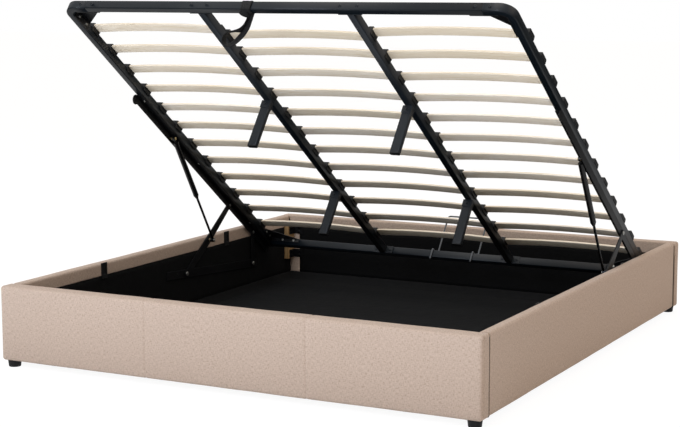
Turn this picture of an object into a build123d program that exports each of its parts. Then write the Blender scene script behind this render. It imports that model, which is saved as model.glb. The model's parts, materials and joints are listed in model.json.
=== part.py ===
"""Double bed base with a storage box and a slatted lid, shown with the lid raised.

The origin is the middle of the footprint on the ground. +X points to the right as
seen from the foot end, +Y to the head end and +Z up. Lengths are in millimetres and
angles in degrees. The lid is drawn flat in its own frame, where y runs from 0 at its
head edge to minus its length at its foot edge and z from 0 at its underside, and is
then turned and moved to its raised place.
"""
import math
import os

from build123d import *

# Box of the bed
bed_width = 1900.0
bed_length = 2120.0
panel_height = 275.0
foot_panel_depth = 60.0
head_panel_depth = 50.0
side_panel_depth = 38.0
side_panel_inset = 3.0
cover_thickness = 5.0
cover_edge_radius = 8.0
lining_thickness = 1.5
band_height = 50.0
seam_half_spacing = 320.0
seam_width = 4.0
seam_depth = 2.0

# Feet
foot_height = 25.0
foot_radius = 25.0
foot_taper = 3.0
foot_inset = 35.0

# Floor cloth
cloth_thickness = 2.0
cloth_clearance = 1.0
cloth_hem_height = 34.0

# Corner joints
cleat_length = 57.0
cleat_thickness = 20.0
cleat_height = 154.0
cleat_drop = 46.0
bracket_thickness = 3.0
bracket_height = 38.0
bracket_leg = 45.0
bracket_drops = (67.0, 178.0)
corner_bolt_radius = 6.5
corner_bolt_height = 3.5
corner_bolt_setback = 28.0
corner_bolt_share = 0.25

# Guides on the side bands
guide_thickness = 4.0
guide_width = 38.0
guide_height = 63.0
guide_back = 1.5
guide_recess_width = 22.0
guide_recess_height = 30.0
guide_places = (-478.0, 436.0)

# Lid frame
lid_open_angle = 36.5
lid_closed_height = 205.0
lid_head_gap = 73.0
lid_foot_gap = 64.0
rail_width = 28.0
rail_height = 34.0
rail_wall = 1.6
rail_corner_radius = 55.0
rail_joint_setback = 107.5
centre_bar_x = 300.0
plug_depth = 14.0
plug_clearance = 0.2

# Brackets of the lid frame
gusset_thickness = 3.0
gusset_long_leg = 131.0
gusset_short_leg = 122.0
head_gusset_long_leg = 140.0
head_gusset_short_leg = 84.0
gusset_clearance = 1.0
gusset_bolt_shares = (0.25, 0.77)
head_gusset_bolt_shares = (0.4, 0.8)
flange_plate_width = 92.0
flange_plate_thickness = 3.0
flange_bolt_spacing = 66.0
splice_bolt_spacing = 50.0
frame_bolt_radius = 6.0
frame_bolt_height = 3.0
head_chamfer_share = 0.33

# Slats and their holders
slat_rows = 12
slat_width = 45.0
slat_thickness = 8.0
slat_bow = 10.0
slat_head_margin = 145.5
slat_foot_margin = 193.0
centre_slat_setback = 30.0
slat_end_clearance = 1.0
slat_side_clearance = 0.5
holder_width = 50.0
holder_height = 18.0
holder_floor = 4.0
holder_reach = 4.0
holder_wall = 6.0
holder_split = 1.0
holder_skirt_height = 14.0
holder_skirt_thickness = 3.0

# Support legs under the centre bars
leg_width = 40.0
leg_depth = 20.0
leg_wall = 1.5
leg_corner_radius = 6.0
leg_row_numbers = (4, 9)
leg_floor_clearance = 0.5
leg_cap_thickness = 4.0
saddle_thickness = 2.5
saddle_height = 32.0
saddle_bolt_radius = 5.5

# Side brackets of the lid and the pivots that they carry
lid_bracket_thickness = 3.0
lid_bracket_drop = 30.0
lid_bracket_reach = 1275.0
lid_bracket_end_radius = 20.0
lid_bracket_bolt_places = (229.0, 747.0, 1236.0)
lid_pivot_drop = 12.5
front_pivot_place = 404.0
rear_pivot_place = 157.0
strut_pivot_place = 969.0
strut_pivot_drop = 14.0

# Base plates and arms
base_plate_thickness = 4.0
base_plate_height = 34.0
base_plate_front_margin = 146.0
base_plate_rear_margin = 36.0
base_screw_radius = 6.0
base_screw_clearance = 0.1
base_screw_places = (43.0, 81.0, 284.0, 469.0, 619.0)
arm_thickness = 4.0
arm_gap = 0.75
front_arm_length = 428.0
front_arm_closed_angle = 3.9
rear_arm_length = 143.0
rear_arm_closed_angle = 28.2
arm_end_radius = 13.0
arm_base_radius = 16.0
arm_pivot_radius = 5.0
arm_pivot_clearance = 0.1
pin_head_radius = 9.0
pin_head_height = 3.0
pin_head_gap = 0.4
rivet_head_radius = 7.5
rivet_head_height = 2.4

# Gas struts
strut_arm_place = 218.0
strut_arm_drop_angle = 2.5
strut_axis_offset = 17.0
strut_radius = 11.0
strut_bore_radius = 9.0
strut_neck_radius = 4.5
strut_neck_length = 20.0
strut_mouth_gap = 56.0
strut_mouth_lip = 6.0
rod_radius = 5.0
rod_clearance = 0.2
piston_radius = 8.7
piston_length = 12.0
piston_stop_gap = 10.0
eye_radius = 9.0
eye_thickness = 10.0
eye_clearance = 0.1
stud_radius = 4.0
stud_collar_radius = 6.5
stud_head_height = 3.0
stud_gap = 0.3
socket_height = 16.0
socket_bolt_radius = 6.0
socket_bolt_height = 2.5

# Strap and mattress retainer
strap_width = 49.0
strap_thickness = 2.0
strap_clearance = 0.3
strap_x = -100.0
strap_drop = 118.0
strap_loop_depth = 44.0
wire_radius = 3.5
wire_bend_radius = 12.0
wire_clearance = 0.3
retainer_x = 30.0
retainer_width = 189.0
retainer_height = 235.0
retainer_offset = 30.0
hook_lip = 10.0

overrun = 5.0

# Places that follow from the box of the bed
rim_z = foot_height + panel_height
half_width = bed_width / 2
half_length = bed_length / 2
foot_inner_y = foot_panel_depth - half_length
head_inner_y = half_length - head_panel_depth
side_outer_x = half_width - side_panel_inset
side_inner_x = side_outer_x - side_panel_depth
inner_length = head_inner_y - foot_inner_y
inner_middle_y = (head_inner_y + foot_inner_y) / 2
cloth_top_z = cloth_clearance + cloth_thickness

# Places across the stack of base plate, arm and lid at each side
base_plate_x = side_inner_x - base_plate_thickness
arm_outer_x = base_plate_x - arm_gap
arm_inner_x = arm_outer_x - arm_thickness
lid_half_width = arm_inner_x - arm_gap
lid_flange_x = lid_half_width - lid_bracket_thickness
rail_inner_x = lid_half_width - rail_width
rail_joint_x = lid_half_width - rail_joint_setback
strut_axis_x = lid_half_width - strut_axis_offset

# Sizes of the lid
lid_length = inner_length - lid_head_gap - lid_foot_gap
slat_pitch = (lid_length - slat_head_margin - slat_foot_margin) / (slat_rows - 1)
slat_places = [slat_head_margin + slat_pitch * row for row in range(slat_rows)]
centre_slat_places = slat_places[:-1] + [slat_places[-1] - centre_slat_setback]
leg_places = [slat_places[slat_rows - row] for row in leg_row_numbers]
leg_length = lid_closed_height - cloth_top_z - leg_floor_clearance
slat_z = rail_height + holder_floor
head_gusset_height = rail_height - holder_skirt_height - gusset_clearance


def turned(vector, angle):
    """Turn a (y, z) pair about +X by an angle."""
    cosine, sine = math.cos(math.radians(angle)), math.sin(math.radians(angle))
    return (vector[0] * cosine - vector[1] * sine, vector[0] * sine + vector[1] * cosine)


def added(first, second):
    """Sum of two (y, z) pairs."""
    return (first[0] + second[0], first[1] + second[1])


def taken(first, second):
    """Difference of two (y, z) pairs."""
    return (first[0] - second[0], first[1] - second[1])


def distance(first, second):
    """Distance between two (y, z) pairs."""
    return math.hypot(first[0] - second[0], first[1] - second[1])


def direction(first, second):
    """Angle of the line from the first (y, z) pair to the second."""
    return math.degrees(math.atan2(second[1] - first[1], second[0] - first[0]))


def circle_crossing(centre_a, radius_a, centre_b, radius_b):
    """Upper crossing of two circles in the (y, z) plane."""
    span = distance(centre_a, centre_b)
    along = (span * span + radius_a * radius_a - radius_b * radius_b) / (2 * span)
    height = math.sqrt(radius_a * radius_a - along * along)
    return added(centre_a, turned((along, height), direction(centre_a, centre_b)))


# Pivots of the linkage with the lid shut, as (y, z)
lid_closed = (head_inner_y - lid_head_gap, lid_closed_height)
front_on_lid = (-front_pivot_place, -lid_pivot_drop)
rear_on_lid = (-rear_pivot_place, -lid_pivot_drop)
strut_on_lid = (-strut_pivot_place, -strut_pivot_drop)
front_closed = added(lid_closed, front_on_lid)
rear_closed = added(lid_closed, rear_on_lid)
front_base = taken(front_closed, turned((front_arm_length, 0), front_arm_closed_angle))
rear_base = taken(rear_closed, turned((rear_arm_length, 0), rear_arm_closed_angle))

# Pivots with the lid raised: the rear one follows the front one at the lid's spacing
lid_spacing = turned(taken(rear_on_lid, front_on_lid), -lid_open_angle)
front_open = circle_crossing(front_base, front_arm_length,
                             taken(rear_base, lid_spacing), rear_arm_length)
rear_open = added(front_open, lid_spacing)
lid_open = taken(front_open, turned(front_on_lid, -lid_open_angle))
front_arm_open_angle = direction(front_base, front_open)
rear_arm_open_angle = direction(rear_base, rear_open)

# Gas strut at both ends of the travel
strut_top_open = added(lid_open, turned(strut_on_lid, -lid_open_angle))
strut_top_closed = added(lid_closed, strut_on_lid)
strut_foot_on_arm = turned((strut_arm_place, 0), -strut_arm_drop_angle)
strut_foot_open = added(front_base, turned(strut_foot_on_arm, front_arm_open_angle))
strut_foot_closed = added(front_base, turned(strut_foot_on_arm, front_arm_closed_angle))
strut_open_length = distance(strut_top_open, strut_foot_open)
strut_closed_length = distance(strut_top_closed, strut_foot_closed)
strut_open_angle = direction(strut_top_open, strut_foot_open)
strut_closed_angle = direction(strut_top_closed, strut_foot_closed)
cylinder_length = strut_closed_length - strut_mouth_gap
rod_length = (strut_open_length - cylinder_length + strut_mouth_lip
              + piston_length + piston_stop_gap)

# Point about which one turn carries the raised lid to its shut place
pole_half_tangent = math.tan(math.radians(lid_open_angle / 2))
lid_shift = taken(lid_closed, lid_open)
lid_pole = ((lid_closed[0] + lid_open[0]) / 2 - lid_shift[1] / (2 * pole_half_tangent),
            (lid_closed[1] + lid_open[1]) / 2 + lid_shift[0] / (2 * pole_half_tangent))


def box_between(low, high):
    """Box with two opposite corners at the given points."""
    size = [high[i] - low[i] for i in range(3)]
    middle = [(high[i] + low[i]) / 2 for i in range(3)]
    return Pos(*middle) * Box(*size)


def rod_between(start, end, radius):
    """Cylinder from one point to another."""
    axis = Vector(*end) - Vector(*start)
    middle = Vector(*start) + axis / 2
    return Plane(origin=middle, z_dir=axis).location * Cylinder(radius, axis.length)


def fastener_head(place, normal, radius, height):
    """Low head with a chamfered rim, standing on a face."""
    head = Cylinder(radius, height, align=(Align.CENTER, Align.CENTER, Align.MIN))
    rim = head.faces().sort_by(Axis.Z)[-1].edges()
    head = chamfer(rim, height * head_chamfer_share)
    return Plane(origin=place, z_dir=normal).location * head


def mirrored(shape):
    """Copy of a shape on the other side of the bed."""
    return mirror(shape, about=Plane.YZ)


def group(shapes):
    """Separate solids as one sub-part."""
    return Compound(children=[solid for shape in shapes for solid in shape.solids()])


def save(name, shape):
    """Write one sub-part."""
    export_step(shape, f"parts/{name}.step")


def save_pair(name, right_shape):
    """Write a sub-part of the right side and its mirror image on the left side."""
    save(f"right_{name}", right_shape)
    save(f"left_{name}", mirrored(right_shape))


def on_lid(shape):
    """Move a shape from the lid's own frame to its raised place."""
    return Pos(0, *lid_open) * Rot(-lid_open_angle, 0, 0) * shape


def panel(length, depth, end_strip, round_ends, seams):
    """Timber board, cover and lining of one wall, outer face at y = 0, standing on z = 0."""
    half = length / 2
    outer = box_between((-half, 0, 0), (half, depth, panel_height))
    long_edges = outer.edges().filter_by(Axis.X).group_by(Axis.Z)
    edges = list(long_edges[-1]) + [long_edges[0].sort_by(Axis.Y)[0]]
    if round_ends:
        edges += list(outer.edges().filter_by(Axis.Z).group_by(Axis.Y)[0])
        edges += list(outer.edges().filter_by(Axis.Y).group_by(Axis.Z)[-1])
    outer = fillet(edges, cover_edge_radius)
    board = box_between((cover_thickness - half, cover_thickness, cover_thickness),
                        (half - cover_thickness, depth - lining_thickness,
                         panel_height - cover_thickness))
    lining = box_between((end_strip - half, depth - lining_thickness, cover_thickness),
                         (half - end_strip, depth, panel_height - band_height))
    cover = outer - board - lining
    for seam in seams:
        cover -= box_between((seam - seam_width / 2, 0, 0),
                             (seam + seam_width / 2, seam_depth, panel_height))
    return board, cover, lining


def save_panel(name, pieces, location):
    """Write the three layers of one wall at its place."""
    for layer, piece in zip(("board", "cover", "lining"), pieces):
        save(f"{name}_{layer}", location * piece)


def make_walls():
    """The four upholstered walls."""
    seams = (-seam_half_spacing, seam_half_spacing)
    strip = half_width - side_inner_x
    foot = panel(bed_width, foot_panel_depth, strip, True, seams)
    save_panel("foot_panel", foot, Pos(0, -half_length, foot_height))
    head = panel(bed_width, head_panel_depth, strip, True, ())
    save_panel("head_panel", head, Pos(0, half_length, foot_height) * Rot(0, 0, 180))
    side = panel(inner_length, side_panel_depth, cover_thickness, False, ())
    right = Pos(side_outer_x, inner_middle_y, foot_height) * Rot(0, 0, 90)
    left = Pos(-side_outer_x, inner_middle_y, foot_height) * Rot(0, 0, -90)
    save_panel("right_panel", side, right)
    save_panel("left_panel", side, left)


def make_feet():
    """Round tapered feet under the four corners."""
    feet = []
    for x in (foot_inset - half_width, half_width - foot_inset):
        for y in (foot_panel_depth / 2 - half_length, half_length - head_panel_depth / 2):
            foot = Cone(foot_radius - foot_taper, foot_radius, foot_height)
            feet.append(Pos(x, y, foot_height / 2) * foot)
    save("corner_feet", group(feet))


def make_floor_cloth():
    """Cloth floor just above the ground, and the hems that hold its edges to the walls."""
    cloth = Box(2 * side_inner_x, inner_length, cloth_thickness)
    save("floor_cloth", Pos(0, inner_middle_y, cloth_clearance + cloth_thickness / 2) * cloth)
    hem_z = cloth_top_z + cloth_hem_height / 2
    hem_x = side_inner_x - cloth_thickness / 2
    hem_y = (inner_length - cloth_thickness) / 2
    end_hem = Box(2 * side_inner_x, cloth_thickness, cloth_hem_height)
    side_hem = Box(cloth_thickness, inner_length - 2 * cloth_thickness, cloth_hem_height)
    hems = []
    for side in (-1, 1):
        hems.append(Pos(0, inner_middle_y + side * hem_y, hem_z) * end_hem)
        hems.append(Pos(side * hem_x, inner_middle_y, hem_z) * side_hem)
    save("floor_cloth_hems", group(hems))


def make_corner_joints():
    """Timber cleats, hooked corner plates and their bolts in the four corners."""
    cleats, plates, bolts = [], [], []
    cleat_face = side_inner_x - cleat_thickness
    for side in (-1, 1):
        for wall_y, inward in ((foot_inner_y, 1), (head_inner_y, -1)):
            cleats.append(corner_block(side, wall_y, inward))
            for drop in bracket_drops:
                middle_z = rim_z - drop
                plates.append(corner_plate(side, wall_y, inward, middle_z))
                wall_face_y = wall_y + inward * bracket_thickness
                side_face_x = side * (cleat_face - bracket_thickness)
                for quarter in (-1, 1):
                    z = middle_z + quarter * bracket_height * corner_bolt_share
                    bolts.append(fastener_head(
                        (side * (cleat_face - corner_bolt_setback), wall_face_y, z),
                        (0, inward, 0), corner_bolt_radius, corner_bolt_height))
                    bolts.append(fastener_head(
                        (side_face_x, wall_y + inward * corner_bolt_setback, z),
                        (-side, 0, 0), corner_bolt_radius, corner_bolt_height))
    save("corner_cleats", group(cleats))
    save("corner_brackets", group(plates))
    save("corner_bolts", group(bolts))


def corner_block(side, wall_y, inward):
    """Timber cleat on a side wall, against an end wall."""
    block = Box(cleat_thickness, cleat_length, cleat_height)
    return Pos(side * (side_inner_x - cleat_thickness / 2), wall_y + inward * cleat_length / 2,
               rim_z - cleat_drop - cleat_height / 2) * block


def corner_plate(side, wall_y, inward, middle_z):
    """Angle plate that holds a cleat to an end wall."""
    face = side_inner_x - cleat_thickness
    on_cleat = Pos(side * (face - bracket_thickness / 2), wall_y + inward * bracket_leg / 2,
                   middle_z) * Box(bracket_thickness, bracket_leg, bracket_height)
    on_wall = Pos(side * (face - bracket_leg / 2), wall_y + inward * bracket_thickness / 2,
                  middle_z) * Box(bracket_leg, bracket_thickness, bracket_height)
    return on_cleat + on_wall


def make_guides():
    """Plastic guides with a recess, on the bands of both side walls."""
    guides = []
    for side in (-1, 1):
        for y in guide_places:
            middle = Pos(side * (side_inner_x - guide_thickness / 2), y,
                         rim_z - guide_height / 2)
            guide = Box(guide_thickness, guide_width, guide_height)
            recess = Box(guide_thickness, guide_recess_width, guide_recess_height)
            guide -= Pos(-side * guide_back, 0, 0) * recess
            guides.append(middle * guide)
    save("lid_guides", group(guides))


def side_outline(circles, inner_x, thickness):
    """Flat plate that wraps circles given as (y, z, radius), standing along the side."""
    discs = Sketch() + [Pos(y, z) * Circle(radius) for y, z, radius in circles]
    plate = extrude(make_hull(discs.edges()), thickness)
    return Pos(inner_x, 0, 0) * Plane.YZ.location * plate


def cross_pin(place, low_x, high_x, radius):
    """Pin along X at a (y, z) place."""
    return rod_between((low_x, *place), (high_x, *place), radius)


def base_plate_points():
    """Ends of the base plate's middle line as (y, z), and its angle."""
    angle = direction(front_base, rear_base)
    front = taken(front_base, turned((base_plate_front_margin, 0), angle))
    rear = added(rear_base, turned((base_plate_rear_margin, 0), angle))
    return front, rear, angle


def make_base_plates():
    """Long plates on the side walls, their screws and the arms' lower pins."""
    front, rear, angle = base_plate_points()
    middle = ((front[0] + rear[0]) / 2, (front[1] + rear[1]) / 2)
    strip = Rectangle(distance(front, rear), base_plate_height)
    for place in base_screw_places:
        hole = Circle(base_screw_radius + base_screw_clearance)
        strip -= Pos(place - distance(front, rear) / 2, 0) * hole
    plate = extrude(Rot(0, 0, angle) * strip, base_plate_thickness)
    plate = Pos(base_plate_x, *middle) * Plane.YZ.location * plate
    save_pair("base_plate", plate)
    screws, pins = [], []
    for place in base_screw_places:
        centre = added(front, turned((place, 0), angle))
        screws.append(cross_pin(centre, base_plate_x, side_inner_x, base_screw_radius))
    for centre in (front_base, rear_base):
        head_x = arm_inner_x - pin_head_gap
        pin = cross_pin(centre, head_x, base_plate_x, arm_pivot_radius)
        head = fastener_head((head_x, *centre), (-1, 0, 0), pin_head_radius, pin_head_height)
        pins.append(pin + head)
    save("base_plate_screws", group(screws + [mirrored(screw) for screw in screws]))
    save("base_pivot_pins", group(pins + [mirrored(pin) for pin in pins]))


def make_arms():
    """Front and rear arms with the rivets at their upper ends and the strut's stub."""
    base_hole = arm_pivot_radius + arm_pivot_clearance
    front = side_outline([(*front_base, arm_base_radius), (*strut_foot_open, arm_end_radius),
                          (*front_open, arm_end_radius)], arm_inner_x, arm_thickness)
    front -= cross_pin(front_base, arm_inner_x - overrun, arm_outer_x + overrun, base_hole)
    rear = side_outline([(*rear_base, arm_base_radius), (*rear_open, arm_end_radius)],
                        arm_inner_x, arm_thickness)
    rear -= cross_pin(rear_base, arm_inner_x - overrun, arm_outer_x + overrun, base_hole)
    save_pair("front_arm", front)
    save_pair("rear_arm", rear)
    stub_end = strut_axis_x - eye_thickness / 2 + socket_height + stud_gap
    stub = cross_pin(strut_foot_open, stub_end, arm_inner_x, arm_pivot_radius)
    save_pair("front_arm_pins", group([arm_rivet(front_open), stub]))
    save_pair("rear_arm_pin", arm_rivet(rear_open))


def arm_rivet(place):
    """Rivet head on the outer face of an arm's upper end."""
    return fastener_head((arm_outer_x, *place), (1, 0, 0), rivet_head_radius,
                         rivet_head_height)


def along_strut(length):
    """Point at a distance from the strut's upper pivot as (y, z), lid raised."""
    return added(strut_top_open, turned((length, 0), strut_open_angle))


def strut_rod_between(start, end, radius):
    """Round piece along the strut between two distances from its upper pivot."""
    return rod_between((strut_axis_x, *along_strut(start)), (strut_axis_x, *along_strut(end)),
                       radius)


def make_struts():
    """Gas struts: a cylinder that hangs from the lid and a rod that slides in it."""
    eye_low = strut_axis_x - eye_thickness / 2
    eye_high = strut_axis_x + eye_thickness / 2
    cylinder = strut_rod_between(strut_neck_length, cylinder_length, strut_radius)
    cylinder += strut_rod_between(0, strut_neck_length, strut_neck_radius)
    cylinder += cross_pin(strut_top_open, eye_low, eye_high, eye_radius)
    cylinder -= cross_pin(strut_top_open, eye_low - overrun, eye_high + overrun,
                          stud_radius + eye_clearance)
    bore_start = strut_neck_length + strut_mouth_lip
    cylinder -= strut_rod_between(bore_start, cylinder_length - strut_mouth_lip,
                                  strut_bore_radius)
    cylinder -= strut_rod_between(cylinder_length / 2, cylinder_length + overrun,
                                  rod_radius + rod_clearance)
    rod_start = strut_open_length - rod_length
    rod = strut_rod_between(rod_start, strut_open_length, rod_radius)
    rod += strut_rod_between(rod_start, rod_start + piston_length, piston_radius)
    rod += cross_pin(strut_foot_open, eye_low, eye_low + socket_height, eye_radius)
    bolt = fastener_head((eye_low, *strut_foot_open), (-1, 0, 0), socket_bolt_radius,
                         socket_bolt_height)
    save_pair("strut_cylinder", cylinder)
    save_pair("strut_rod", group([rod, bolt]))


def rail_region(inset, extra):
    """Corner region of the lid that a side rail's outer or inner edge bounds."""
    low = (rail_joint_x - extra, inset - lid_length)
    high = (lid_half_width - inset, extra - rail_width)
    region = Pos((low[0] + high[0]) / 2, (low[1] + high[1]) / 2) * Rectangle(
        high[0] - low[0], high[1] - low[1])
    corner = region.vertices().sort_by(Axis.X)[-2:].sort_by(Axis.Y)[0]
    return fillet(corner, rail_corner_radius - inset)


def side_rail():
    """Side rail of rectangular tube, bent round the foot corner of the lid."""
    tube = extrude(rail_region(0, 0) - rail_region(rail_width, overrun), rail_height)
    hollow = rail_region(rail_wall, overrun) - rail_region(rail_width - rail_wall,
                                                           2 * overrun)
    return tube - Pos(0, 0, rail_wall) * extrude(hollow, rail_height - 2 * rail_wall)


def straight_rail(low, high, along_x):
    """Straight rectangular tube of the lid frame, open at both ends."""
    across = (0, rail_wall) if along_x else (rail_wall, 0)
    beyond = (overrun, 0) if along_x else (0, overrun)
    hollow_low = (low[0] + across[0] - beyond[0], low[1] + across[1] - beyond[1], rail_wall)
    hollow_high = (high[0] - across[0] + beyond[0], high[1] - across[1] + beyond[1],
                   rail_height - rail_wall)
    return (box_between((*low, 0), (*high, rail_height))
            - box_between(hollow_low, hollow_high))


def make_lid_frame():
    """Welded tube frame of the lid."""
    rail = side_rail()
    save("right_side_rail", on_lid(rail))
    save("left_side_rail", on_lid(mirrored(rail)))
    foot = straight_rail((-rail_joint_x, -lid_length),
                         (rail_joint_x, rail_width - lid_length), True)
    head = straight_rail((-lid_half_width, -rail_width), (lid_half_width, 0), True)
    save("foot_rail", on_lid(foot))
    save("head_rail", on_lid(head))
    bar_start = rail_width + flange_plate_thickness
    for name, x in (("left", -centre_bar_x), ("right", centre_bar_x)):
        bar = straight_rail((x - rail_width / 2, bar_start - lid_length),
                            (x + rail_width / 2, -bar_start), False)
        save(f"{name}_centre_bar", on_lid(bar))


def corner_gusset(at_foot):
    """Pressed plate with two turned-down edges inside the right corner of the lid frame."""
    if at_foot:
        reach_x, reach_y, height = gusset_long_leg, gusset_short_leg, rail_height
        start, shares = rail_corner_radius - rail_width, gusset_bolt_shares
    else:
        reach_x, reach_y = head_gusset_long_leg, head_gusset_short_leg
        start, shares, height = 0, head_gusset_bolt_shares, head_gusset_height
    corner_y = rail_width - lid_length if at_foot else -rail_width
    inward = 1 if at_foot else -1
    outline = Polyline((rail_inner_x - start, corner_y),
                       (rail_inner_x - reach_x, corner_y),
                       (rail_inner_x, corner_y + inward * reach_y),
                       (rail_inner_x, corner_y + inward * start), close=True)
    web_z = rail_height - gusset_thickness
    plate = Pos(0, 0, web_z) * extrude(make_face(outline), gusset_thickness)
    edge_x = box_between((0, 0, 0), (reach_x - start, gusset_thickness, height))
    edge_y = box_between((0, 0, 0), (gusset_thickness, reach_y - start, height))
    side_y = corner_y + start if at_foot else corner_y - reach_y
    face_y = corner_y if at_foot else corner_y - gusset_thickness
    low_z = rail_height - height
    plate += Pos(rail_inner_x - reach_x, face_y, low_z) * edge_x
    plate += Pos(rail_inner_x - gusset_thickness, side_y, low_z) * edge_y
    bolts = []
    bolt_z = low_z + height / 2
    for share in shares:
        place = start + (reach_x - start) * share
        bolts.append(fastener_head(
            (rail_inner_x - place, corner_y + inward * gusset_thickness, bolt_z),
            (0, inward, 0), frame_bolt_radius, frame_bolt_height))
        place = start + (reach_y - start) * share
        bolts.append(fastener_head(
            (rail_inner_x - gusset_thickness, corner_y + inward * place, bolt_z),
            (-1, 0, 0), frame_bolt_radius, frame_bolt_height))
    return plate, bolts


def make_lid_brackets():
    """Corner gussets, end plates of the centre bars and the bolts of the lid frame."""
    gussets, bolts, plates = [], [], []
    for at_foot in (True, False):
        plate, plate_bolts = corner_gusset(at_foot)
        gussets += [plate, mirrored(plate)]
        bolts += plate_bolts + [mirrored(bolt) for bolt in plate_bolts]
    middle_z = rail_height / 2
    plate_box = Box(flange_plate_width, flange_plate_thickness, rail_height)
    plate_y = rail_width + flange_plate_thickness / 2
    for x in (-centre_bar_x, centre_bar_x):
        plates.append(Pos(x, -plate_y, middle_z) * plate_box)
        plates.append(Pos(x, plate_y - lid_length, middle_z) * plate_box)
        for side in (-1, 1):
            bolt_x = x + side * flange_bolt_spacing / 2
            bolts.append(fastener_head(
                (bolt_x, -rail_width - flange_plate_thickness, middle_z),
                (0, -1, 0), frame_bolt_radius, frame_bolt_height))
            bolts.append(fastener_head((bolt_x, -lid_length, middle_z), (0, -1, 0),
                                       frame_bolt_radius, frame_bolt_height))
    for x in (-rail_joint_x, rail_joint_x):
        for side in (-1, 1):
            bolts.append(fastener_head(
                (x + side * splice_bolt_spacing / 2, -lid_length, middle_z),
                (0, -1, 0), frame_bolt_radius, frame_bolt_height))
    save("corner_gussets", on_lid(group(gussets)))
    save("centre_bar_flanges", on_lid(group(plates)))
    return bolts


def slat(start_x, end_x, seat_start, seat_end):
    """Bowed slat along X whose flat ends lie in their holders, centred on y = 0."""
    low, high = slat_z, slat_z + slat_thickness
    middle = (start_x + seat_start + end_x - seat_end) / 2
    bend_start, bend_end = start_x + seat_start, end_x - seat_end
    under = Polyline((start_x, low), (bend_start, low))
    under_bow = ThreePointArc((bend_start, low), (middle, low + slat_bow), (bend_end, low))
    right_end = Polyline((bend_end, low), (end_x, low), (end_x, high), (bend_end, high))
    over_bow = ThreePointArc((bend_end, high), (middle, high + slat_bow), (bend_start, high))
    left_end = Polyline((bend_start, high), (start_x, high), (start_x, low))
    face = make_face([under, under_bow, right_end, over_bow, left_end])
    body = extrude(face, slat_width / 2, both=True)
    return Plane.XZ.location * body


def slat_columns():
    """Start, end and seat lengths of the slats in each of the three columns."""
    rail_stop = lid_half_width - holder_wall
    bar_stop = holder_wall / 2
    side_seat = rail_stop - slat_end_clearance - (rail_inner_x - holder_reach)
    bar_seat = rail_width / 2 + holder_reach - bar_stop - slat_end_clearance
    outer_start = centre_bar_x + bar_stop + slat_end_clearance
    outer_end = rail_stop - slat_end_clearance
    inner_end = centre_bar_x - bar_stop - slat_end_clearance
    return {"left": (-outer_end, -outer_start, side_seat, bar_seat),
            "centre": (-inner_end, inner_end, bar_seat, bar_seat),
            "right": (outer_start, outer_end, bar_seat, side_seat)}


def holder_body(low_x, high_x, skirt_faces):
    """Cap on top of a rail, with a thin skirt on each given face of the rail."""
    cap = box_between((low_x, -holder_width / 2, rail_height),
                      (high_x, holder_width / 2, rail_height + holder_height))
    cap = fillet(cap.edges().filter_by(Axis.X).group_by(Axis.Z)[-1], holder_floor)
    for face_x, outward in skirt_faces:
        skirt_low = min(face_x, face_x + outward * holder_skirt_thickness)
        cap += box_between((skirt_low, -holder_width / 2, rail_height - holder_skirt_height),
                           (skirt_low + holder_skirt_thickness, holder_width / 2,
                            rail_height + holder_floor / 2))
    return cap


def holder_slot(start_x, end_x):
    """Space for a slat's flat end in a holder."""
    half = slat_width / 2 + slat_side_clearance
    return box_between((start_x, -half, slat_z),
                       (end_x, half, slat_z + slat_thickness + slat_side_clearance))


def rail_holder():
    """Holder on the right side rail."""
    mouth = rail_inner_x - holder_reach
    cap = holder_body(mouth, lid_half_width, ((rail_inner_x, -1),))
    return cap - holder_slot(mouth - overrun, lid_half_width - holder_wall)


def bar_holders():
    """Holders on the outer and the inner half of the right centre bar."""
    half_bar = rail_width / 2
    low, mouth = holder_split / 2, half_bar + holder_reach
    outer = holder_body(centre_bar_x + low, centre_bar_x + mouth,
                        ((centre_bar_x + half_bar, 1),))
    outer -= holder_slot(centre_bar_x + holder_wall / 2, centre_bar_x + mouth + overrun)
    inner = holder_body(centre_bar_x - mouth, centre_bar_x - low,
                        ((centre_bar_x - half_bar, -1),))
    inner -= holder_slot(centre_bar_x - mouth - overrun, centre_bar_x - holder_wall / 2)
    return outer, inner


def in_rows(shape, places):
    """Copies of a shape at the given places of slats."""
    return [Pos(0, -place, 0) * shape for place in places]


def make_slats():
    """Three columns of bowed slats and the holders on rails and bars."""
    for name, (start_x, end_x, seat_start, seat_end) in slat_columns().items():
        places = centre_slat_places if name == "centre" else slat_places
        slats = in_rows(slat(start_x, end_x, seat_start, seat_end), places)
        save(f"{name}_slats", on_lid(group(slats)))
    outer, inner = bar_holders()
    on_rail = in_rows(rail_holder(), slat_places)
    on_bar = in_rows(outer, slat_places) + in_rows(inner, centre_slat_places)
    for name, holders in (("rail", on_rail), ("bar", on_bar)):
        save(f"right_{name}_holders", on_lid(group(holders)))
        save(f"left_{name}_holders", on_lid(group([mirrored(one) for one in holders])))


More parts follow.
